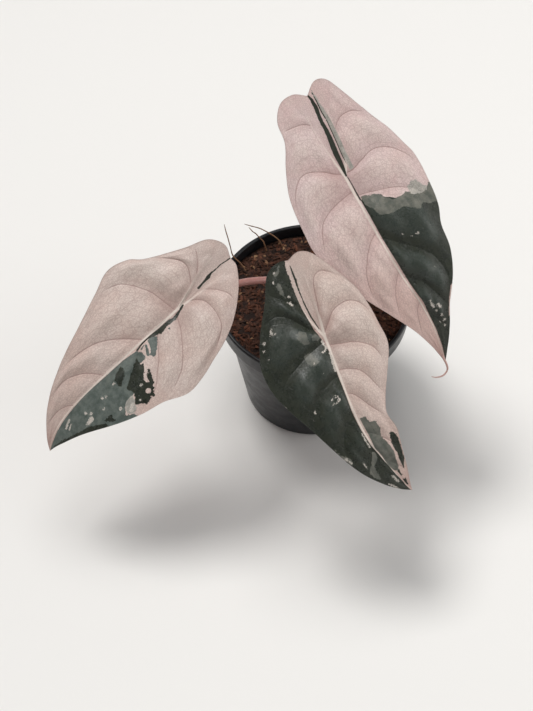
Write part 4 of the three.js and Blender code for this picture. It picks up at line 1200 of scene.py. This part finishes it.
class PLANT_OT_stage(bpy.types.Operator):
    """Pale floor, soft lights and the camera above the plant"""

    bl_idname = "plant.stage"
    bl_label = "Studio Stage"

    def execute(self, context):
        scene = context.scene
        bowl = rounded([(0, 0), (3200, 0), (4000, 500), (4200, 1900), (4300, 1900), (4300, -50), (0, -50)], 600, 12)
        points, faces = turned(bowl[::-1], 96)
        floor = make_object("studio_floor", points, faces, floor_finish(tuple(scene.plant_colours.floor)))

        def light(name, kind, place, power, colour, spread):
            """A lamp that looks at the plant; spread is a sun's angle or a softbox's side."""
            lamp = bpy.data.lights.new(name, kind)
            lamp.energy, lamp.color = power, colour
            if kind == "SUN":
                lamp.angle = math.radians(spread)
            else:
                lamp.shape, lamp.size = "SQUARE", spread
            holder = bpy.data.objects.new(name, lamp)
            holder.location = place
            holder.rotation_euler = (Vector((0, 0, 0.1)) - Vector(place)).to_track_quat("-Z", "Y").to_euler()
            scene.collection.objects.link(holder)

        light("key_light", "SUN", (-0.4, 0.3, 1.2), 1.5, (1.0, 0.985, 0.965), 20)
        light("top_light", "AREA", (-0.1, 0.25, 1.35), 6, (1.0, 0.99, 0.98), 0.6)
        light("side_light", "AREA", (1.5, 0.1, 0.65), 8, (1.0, 0.995, 0.985), 1.1)
        world = bpy.data.worlds.new("studio_air")
        world.use_nodes = True
        background = world.node_tree.nodes["Background"]
        background.inputs["Color"].default_value = (0.97, 0.98, 1.0, 1.0)
        background.inputs["Strength"].default_value = 0.3
        scene.world = world

        camera = bpy.data.cameras.new("camera")
        camera.lens, camera.sensor_width = 97.87, 36
        rig = bpy.data.objects.new("camera", camera)
        rig.location = (0, -0.7489, 1.0128)
        rig.rotation_euler = (math.radians(37.246), 0, math.radians(2.2126))
        scene.collection.objects.link(rig)
        scene.camera = rig
        scene.view_settings.view_transform = "Standard"
        return {"FINISHED"}


class PLANT_OT_pot(bpy.types.Operator):
    """Thin black nursery pot with a collar and a rolled rim, turned from one profile"""

    bl_idname = "plant.pot"
    bl_label = "Nursery Pot"

    def execute(self, context):
        rim = context.scene.plant_sizes.rim_radius / MM
        inner_foot = FOOT_RADIUS + (WALL_TOP_RADIUS - FOOT_RADIUS) * FLOOR_TOP / COLLAR_FOOT - WALL
        profile = [
            (0, 0), (14, 0), (15.5, 2.4), (37, 2.4), (38.5, 0), (FOOT_RADIUS - 0.6, 0),
            (FOOT_RADIUS + 0.1, 0.9), (WALL_TOP_RADIUS, COLLAR_FOOT), (58.3, 74.4), (58.9, 75.4),
            (rim - 0.15, 85.4), (rim, 85.9), (rim, 87.4), (rim - 0.8, POT_TOP), (rim - 2.0, POT_TOP),
            (rim - 2.6, 87.4), (57.5, 77), (56.7, 76), (53, 75.4), (inner_foot, FLOOR_TOP), (0, FLOOR_TOP),
        ]
        points, faces = turned(rounded(profile, 0.7), 192)
        points[:, :2] *= 1 + 0.0012 * np.sin(3 * np.arctan2(points[:, 1], points[:, 0]) + 0.6)[:, None] * (
            points[:, 2:] / POT_TOP) ** 2
        points[:, :2] *= np.minimum(1, RIM_RADIUS / np.maximum(np.hypot(*points[:, :2].T), 1))[:, None]
        pot = make_piece(
            "nursery_pot", "pot", "pot_plastic", points, faces, pot_finish(palette(context)), sharp=CREASE)
        self.drill(pot)
        return {"FINISHED"}

    def drill(self, pot):
        """Cuts the drainage holes out of the raised ring of the floor."""
        turn = 2 * np.pi * (np.arange(HOLES) + 0.5) / HOLES
        middles = HOLE_CIRCLE * np.stack([np.cos(turn), np.sin(turn), 0 * turn], -1)
        reach = np.array([[0, 0, -2.0], [0, 0, FLOOR_TOP + 2]])
        drills = bundle(tube(middle + reach, np.full((2, 1), HOLE_RADIUS), 28) for middle in middles)
        cutter = make_object("hole_cutter", *drills, pot.data.materials[0])
        cut = pot.modifiers.new("holes", "BOOLEAN")
        cut.operation = "DIFFERENCE"
        cut.solver = "EXACT"
        cut.object = cutter
        drilled = bpy.data.meshes.new_from_object(pot.evaluated_get(bpy.context.evaluated_depsgraph_get()))
        pot.modifiers.clear()
        pot.data = drilled
        smooth(drilled, CREASE)
        bpy.data.objects.remove(cutter)


def mix_height(radius):
    """The mix falls away from the middle as the square of the radius."""
    return MIX_MIDDLE - MIX_DROP * (radius / WALL_TOP_RADIUS) ** 2


def lay_of_mix(x, y):
    """Height of the lumpy top of the mix: its gentle fall to the wall, with lumps of three sizes."""
    lumps = 0.5 * ripple(x, y, 16, 5) + 0.35 * ripple(x, y, 6, 6) + 0.22 * ripple(x, y, 2.6, 7)
    return mix_height(np.hypot(x, y)) + lumps * 0.75


class PLANT_OT_potting_mix(bpy.types.Operator):
    """Potting mix: a lumpy bed that fills the pot, strewn with bark chips and coir fibres"""

    bl_idname = "plant.potting_mix"
    bl_label = "Potting Mix"

    def execute(self, context):
        colours = palette(context)
        sizes = context.scene.plant_sizes
        rng = np.random.default_rng(sizes.seed)
        self.bed(colours)
        self.chips(colours, sizes.chips, rng)
        self.fibres(colours, sizes.fibres, rng)
        return {"FINISHED"}

    def bed(self, colours):
        """Rings from the middle of the top to the wall, down the wall, and in to the middle of the foot."""
        wall_foot = FOOT_RADIUS + (WALL_TOP_RADIUS - FOOT_RADIUS) * MIX_BOTTOM / COLLAR_FOOT - WALL - 0.25
        outside = [
            (wall_foot, MIX_BOTTOM), (WALL_TOP_RADIUS - WALL - 0.25, COLLAR_FOOT),
            (WALL_TOP_RADIUS - WALL - 0.25, 76.2), (56.3, 77.2), (MIX_EDGE, 78.2),
        ]
        top = [(radius, 0.0) for radius in np.linspace(MIX_EDGE, 1.0, 64)]
        profile = np.array([(0, MIX_BOTTOM), *outside, *top, (0, 0)], float)
        points, faces = turned(profile, 180)
        first = len(outside) * 180
        lay = lay_of_mix(points[first:-2, 0], points[first:-2, 1])
        points[first:-2, 2] = lay
        points[-1, 2] = lay_of_mix(np.zeros(1), np.zeros(1))[0]
        make_piece("mix_bed", "potting_mix", "potting_mix", points, faces, mix_finish("mix_bed", colours, -0.25))

    def chips(self, colours, count, rng):
        """Bark chips: stretched six-sided lumps with every corner pushed about, lying nearly flat."""
        across = np.array([0.72, 1.0, 0.66])
        turn = np.linspace(0, 2 * np.pi, 6, endpoint=False)
        rings = np.stack([
            np.repeat([-0.72, 0.05, 0.75], 6),
            (across[:, None] * np.cos(turn)).ravel(),
            (across[:, None] * np.sin(turn)).ravel(),
        ], axis=-1)
        template = np.vstack([rings, [[-1, 0, 0], [1, 0, 0]]])
        sides, caps = ring_faces(3, 6)
        size = np.stack([rng.uniform(low, high, count) for low, high in ((0.9, 2.6), (0.5, 1.25), (0.3, 0.75))], -1)
        points = template * (1 + rng.uniform(-0.28, 0.28, (count, 20, 3))) * size[:, None]
        heading = rng.uniform(0, 2 * np.pi, count)
        pitch, roll = rng.normal(0, 0.38, count), rng.normal(0, 0.5, count)
        for axis, angle in enumerate((roll, pitch, heading)):
            points = spun(points, angle, axis)
        radius = np.sqrt(rng.uniform(8.5**2, 55.0**2, count))
        bearing = rng.uniform(0, 2 * np.pi, count)
        x, y = radius * np.cos(bearing), radius * np.sin(bearing)
        z = lay_of_mix(x, y) + rng.uniform(-0.2, 0.7, count)
        points += np.stack([x, y, z], -1)[:, None]
        first = 20 * np.arange(count)[:, None, None]
        shade = np.repeat(rng.uniform(0, 1, count), 20)
        faces = [(sides + first).reshape(-1, 4), (caps + first).reshape(-1, 3)]
        make_piece("bark_chips", "potting_mix", "potting_mix", points.reshape(-1, 3), faces,
                   mix_finish("bark_chips", colours), point_values={"shade": shade}, sharp=35)

    def fibres(self, colours, count, rng):
        """Coir fibres: short bowed tubes of five sides that lie on the lumps."""
        k = np.linspace(-1, 1, 7)
        length = rng.uniform(2.5, 9, count)[:, None]
        bow = rng.normal(0, 0.16, count)[:, None] * length
        radius = np.sqrt(rng.uniform(9.5**2, 52.0**2, count))
        bearing, heading = rng.uniform(0, 2 * np.pi, (2, count))
        ahead, aside = k * length / 2, bow * (1 - k**2)
        c, s = np.cos(heading)[:, None], np.sin(heading)[:, None]
        x = (radius * np.cos(bearing))[:, None] + ahead * c - aside * s
        y = (radius * np.sin(bearing))[:, None] + ahead * s + aside * c
        inward = np.minimum(1, 55.5 / np.hypot(x, y))
        x, y = x * inward, y * inward
        z = mix_height(np.hypot(x, y)) + 0.9 + 0.5 * (1 - k**2) * rng.uniform(0, 1.6, count)[:, None]
        thick = rng.uniform(0.09, 0.2, count)
        paths = np.stack([x, y, z], -1)
        taper = (1 - 0.5 * np.abs(k))[:, None]
        points, faces = bundle(tube(path, w * taper, 5, (0.1, 0.2, 1.0)) for path, w in zip(paths, thick))
        shade = np.repeat(0.45 + 0.55 * rng.uniform(0, 1, count) ** 1.5, len(points) // count)
        make_piece("coir_fibres", "potting_mix", "potting_mix", points, faces,
                   mix_finish("coir_fibres", colours), point_values={"shade": shade})


def spun(points, angle, axis):
    """Each set of points turned about one axis by its own angle."""
    c, s = np.cos(angle)[:, None], np.sin(angle)[:, None]
    a, b = [i for i in range(3) if i != axis]
    turned_points = points.copy()
    turned_points[..., a] = c * points[..., a] - s * points[..., b]
    turned_points[..., b] = s * points[..., a] + c * points[..., b]
    return turned_points


class PLANT_OT_corm(bpy.types.Operator):
    """Corm: a ringed stub of stem, rough with the scars of old leaves"""

    bl_idname = "plant.corm"
    bl_label = "Corm"

    def execute(self, context):
        """Radius = rounded profile + rings 1.9 mm apart + bumps; the top is a low dome."""
        colours = palette(context)
        profile = smooth_line([
            (0.3, CORM_BOTTOM), (5.6, 71.8), (8.1, 74.6), (9.3, 79), (9.1, 83), (8.6, 85.2), (6.5, 86.2), (0.3, 86.4),
        ], 70)
        profile[0, 0] = profile[-1, 0] = 0
        points, faces = turned(profile, 120)
        turn = np.arctan2(points[:, 1], points[:, 0])
        height = points[:, 2]
        rings = 0.22 * np.sin(2 * np.pi * height / 1.9 + 0.7 * np.sin(2 * turn))
        bumps = 0.3 * ripple(turn * 9, height, 5, 21) + 0.14 * ripple(turn * 9, height, 1.6, 22)
        swell = smoothstep(0, 4, np.hypot(points[:, 0], points[:, 1]))
        points[:, :2] *= (1 + (rings + bumps) * swell / 9)[:, None]
        points[:, 2] += 0.12 * ripple(points[:, 0], points[:, 1], 3, 23) * swell
        f = Finish("corm_bark", specular_ior_level=0.2)
        place = f.place()
        crust = f.noise(f.scaled(place, 220, 220, 900), 1.0, 5, 0.65)
        patch = f.noise(place, 240, 3, 0.6)
        colour = f.mix(f.fade(crust, 0.35, 0.7), colours["corm_deep"], colours["corm"])
        colour = f.mix(f.times(f.fade(patch, 0.5, 0.8), 0.4), colour, colours["husk"])
        bark = f.finish(colour, f.fade(patch, 0.3, 0.7, 0.8, 0.95), f.bump(crust, 0.0005, 1.0))
        make_piece("corm_stub", "corm", "corm_bark", points, faces, bark)
        return {"FINISHED"}


class PLANT_OT_stalks(bpy.types.Operator):
    """Stalks: waxy pink tubes with a channel, a winged sheath at the foot and a swelling under the blade"""

    bl_idname = "plant.stalks"
    bl_label = "Stalks"

    def execute(self, context):
        skin = stalk_finish(palette(context))
        for name, path in STALKS.items():
            self.stalk(name, path, skin)
        return {"FINISHED"}

    def stalk(self, name, path, skin):
        """Radius at k along and a round: it narrows from sheath to top, less a channel on the inner side,
        plus two lips beside the channel that fade at a third of the way, and eases to a rounded end."""
        blade = BLADES[name]
        end = bent(blade, blade["halves"][0], np.zeros(1), np.zeros(1), np.full(1, -1.1))[0]
        line = smooth_line([*path[:-1], tuple(end)], 170)
        sides = 40
        k = np.linspace(0, 1, len(line))[:, None]
        a = np.linspace(0, 2 * np.pi, sides, endpoint=False)[None]
        length = np.linalg.norm(np.diff(line, axis=0), axis=1).sum()
        sheath = 1 - smoothstep(0.02, 0.36, k)
        radius = 2.35 - 0.35 * k + 0.95 * sheath + 0.35 * smoothstep(0.9, 0.985, k)
        facing = np.cos(a - 1.6)
        channel = np.exp((facing - 1) / 0.12)
        lips = np.exp((np.cos(np.abs(np.angle(np.exp(1j * (a - 1.6)))) - 0.75) - 1) / 0.03)
        radius = radius * (1 - (0.07 + 0.22 * sheath) * channel + 0.16 * sheath * lips)
        radius = radius * (1 + 0.012 * ripple(a * 2 + 0 * k, k * length / 3, 2.0, 31))
        close = np.sqrt(np.clip(1 - ((k - 0.975) / 0.025).clip(0, 1) ** 2, 0.12, 1))
        points, faces = tube(line, radius * close, sides, (0.1, 1.0, 0.15))
        round_it, up_it = (np.broadcast_to(x, (len(line), sides)) for x in (a / (2 * np.pi), k * length / 25))
        run = np.vstack([np.stack([round_it, up_it], -1).reshape(-1, 2), [[0.5, 0], [0.5, length / 25]]])
        corners = run[np.concatenate([f.ravel() for f in faces])]
        around = corners[: faces[0].size].reshape(-1, 4, 2)[..., 0]
        on_seam = np.ptp(around, axis=1, keepdims=True) > 0.5
        around[:] = np.where(on_seam & (around < 0.5), around + 1, around)
        make_piece(f"pink_stalk_{name}", f"stalk_{name}", "stalk_pink", points, faces, skin,
                   corner_maps={"run": corners})


class PLANT_OT_blades(bpy.types.Operator):
    """Leaf blades: quilted skins that follow their own veins, with a drip tip on the rear one"""

    bl_idname = "plant.blades"
    bl_label = "Leaf Blades"

    def execute(self, context):
        colours = palette(context)
        thickness = context.scene.plant_sizes.leaf_thickness / MM
        for name, blade in BLADES.items():
            points, faces, maps, values = blade_mesh(name, blade, thickness)
            if "drip_tip" in blade:
                points, faces, maps, values = self.with_tail(blade, points, faces, maps, values)
            skin = leaf_finish(f"leaf_{name}", blade, colours)
            make_piece(f"leaf_blade_{name}", f"blade_{name}", f"leaf_{name}", points, faces, skin,
                       corner_maps=maps, point_values=values)
        return {"FINISHED"}

    def with_tail(self, blade, points, faces, maps, values):
        """Adds the drip tip: a fine tapering tube that curls to one side off the end of the blade."""
        tail = blade["drip_tip"]
        half = blade["halves"][1]
        root = bent(blade, half, np.full(1, tail["start"]), np.zeros(1), np.full(1, -0.2))[0]
        base = in_plant(blade, np.zeros((1, 3)))[0]
        path = root + in_plant(blade, np.asarray(tail["path"], float)) - base
        line = smooth_line(path, 40)
        k = np.linspace(0, 1, 40)[:, None]
        radii = tail["radii"][0] + (tail["radii"][1] - tail["radii"][0]) * k
        ring, (quads, caps) = tube(line, radii * np.sqrt(np.clip(1.04 - k**12, 0.05, 1)), 12)
        triangles = np.concatenate([quads[:, [0, 1, 2]], quads[:, [0, 2, 3]], caps])
        extra = np.broadcast_to([tail["start"] / 100, 0.0], (triangles.size, 2))
        maps = {
            "plan": np.vstack([maps["plan"], extra]),
            "venation": np.vstack([maps["venation"], np.broadcast_to([0.5, 0.5], (triangles.size, 2))]),
        }
        filler = {"rib_widths": 4.0, "vein_mm": 9.0, "edge_mm": 9.0, "height_mm": 0.0, "under": 0.0}
        values = {
            label: np.concatenate([value, np.full(len(ring), filler.get(label, -6.0))])
            for label, value in values.items()
        }
        return np.vstack([points, ring]), np.concatenate([faces, triangles + len(points)]), maps, values


class PLANT_OT_husks(bpy.types.Operator):
    """Husks: papery slivers of old sheaths that stand round the corm"""

    bl_idname = "plant.husks"
    bl_label = "Husks"

    def execute(self, context):
        skin = dry_finish("dry_husk", palette(context), ("husk_deep", "husk", "mix_tan"), (60, 3, 1))
        for name, bearing in HUSKS.items():
            self.husk(name, math.radians(bearing), skin)
        return {"FINISHED"}

    def husk(self, name, bearing, skin):
        """At height h and side w the radius is 9.9 + 2.4 h^1.5, plus pleats 0.15 cos 7 pi w that fade
        upwards and edges rolled out by 0.5 h |w|^4. It narrows by nine tenths of h^1.7, and its top is
        torn in uneven points."""
        h, w = np.meshgrid(np.linspace(0, 1, 60), np.linspace(-1, 1, 44), indexing="ij")
        seed = abs(int(math.degrees(bearing)))
        half = math.radians(36) * (1 - 0.9 * h**1.7)
        tear = 1 - 0.16 * smoothstep(0.2, 1, h) * (0.5 + 0.5 * ripple(w * 7, 0 * w, 3.2, seed)) - 0.1 * np.abs(w) * h
        angle = bearing + half * w + 0.05 * ripple(h * 5, w, 3, seed + 1) * h
        radius = 9.9 + 2.4 * h**1.5 + 0.15 * np.cos(7 * w * np.pi) * (1 - 0.6 * h) + 0.5 * np.abs(w) ** 4 * h
        height = 82.2 + 20.4 * h * tear
        sheets = []
        for push in (0.0, 0.35):
            r = radius + push * (1 - 0.5 * h)
            sheets.append(np.stack([r * np.cos(angle), r * np.sin(angle), height], -1).reshape(-1, 3))
        rows, columns = h.shape
        inner = np.arange(rows * columns).reshape(rows, columns)
        edge = np.concatenate([inner[0, :-1], inner[:-1, -1], inner[-1, :0:-1], inner[:0:-1, 0]])
        outer_edge = edge + rows * columns
        quads = [grid_quads(rows, columns)[:, ::-1], grid_quads(rows, columns) + rows * columns]
        quads.append(np.stack([edge, np.roll(edge, -1), np.roll(outer_edge, -1), outer_edge], -1))
        faces = np.concatenate(quads)
        run = np.tile(np.stack([w.ravel() / 2 + 0.5, h.ravel()], -1), (2, 1))
        make_piece(f"papery_{name}", name, "dry_sheath", np.vstack(sheets), faces, skin,
                   corner_maps={"run": run[faces.ravel()]})


class PLANT_OT_strands(bpy.types.Operator):
    """Coir strands: three loose fibres that lean out over the rim"""

    bl_idname = "plant.strands"
    bl_label = "Coir Strands"

    def execute(self, context):
        skin = dry_finish("coir_fibre", palette(context), ("husk_deep", "coir", "mix_tan"), (6, 30, 1))
        for number, (name, path) in enumerate(STRANDS.items()):
            line = smooth_line(path, 90)
            u = np.linspace(0, 1, 90)
            k = u[:, None]
            line = line + 0.12 * (ripple(u * 30, 0 * u, 7, 41 + number) * np.sin(np.pi * u))[:, None]
            radii = (0.5 - 0.22 * k) * (1 + 0.12 * ripple(u * 40, 0 * u, 5, 51 + number))[:, None]
            points, faces = tube(line, radii * np.sqrt(np.clip(1.03 - k**20, 0.04, 1)), 12)
            run = np.stack([np.tile(np.arange(12) / 12, 90), np.repeat(u, 12)], -1)
            run = np.vstack([run, [[0, 0], [0, 1]]])
            corners = run[np.concatenate([f.ravel() for f in faces])]
            make_piece(f"loose_{name}", name, "coir", points, faces, skin, corner_maps={"run": corners})
        return {"FINISHED"}


class PLANT_PT_panel(bpy.types.Panel):
    """Lists the steps of the plant and what can be changed"""

    bl_label = "Potted Alocasia"
    bl_idname = "PLANT_PT_panel"
    bl_space_type = "VIEW_3D"
    bl_region_type = "UI"
    bl_category = "Alocasia"

    def draw(self, context):
        layout = self.layout
        for step in STEPS:
            layout.operator(step.bl_idname)
        for group in (context.scene.plant_sizes, context.scene.plant_colours):
            column = layout.column(align=True)
            for name in type(group).__annotations__:
                column.prop(group, name)


STEPS = (
    PLANT_OT_stage, PLANT_OT_pot, PLANT_OT_potting_mix, PLANT_OT_corm,
    PLANT_OT_stalks, PLANT_OT_blades, PLANT_OT_husks, PLANT_OT_strands,
)
CLASSES = (PlantColours, PlantSizes, *STEPS, PLANT_PT_panel)


def register():
    for cls in CLASSES:
        bpy.utils.register_class(cls)
    bpy.types.Scene.plant_colours = PointerProperty(type=PlantColours)
    bpy.types.Scene.plant_sizes = PointerProperty(type=PlantSizes)


def unregister():
    del bpy.types.Scene.plant_sizes
    del bpy.types.Scene.plant_colours
    for cls in reversed(CLASSES):
        bpy.utils.unregister_class(cls)


def main():
    """Builds every piece in order."""
    register()
    bpy.ops.plant.stage()
    bpy.ops.plant.pot()
    bpy.ops.plant.potting_mix()
    bpy.ops.plant.corm()
    bpy.ops.plant.stalks()
    bpy.ops.plant.blades()
    bpy.ops.plant.husks()
    bpy.ops.plant.strands()


if __name__ == "__main__":
    main()
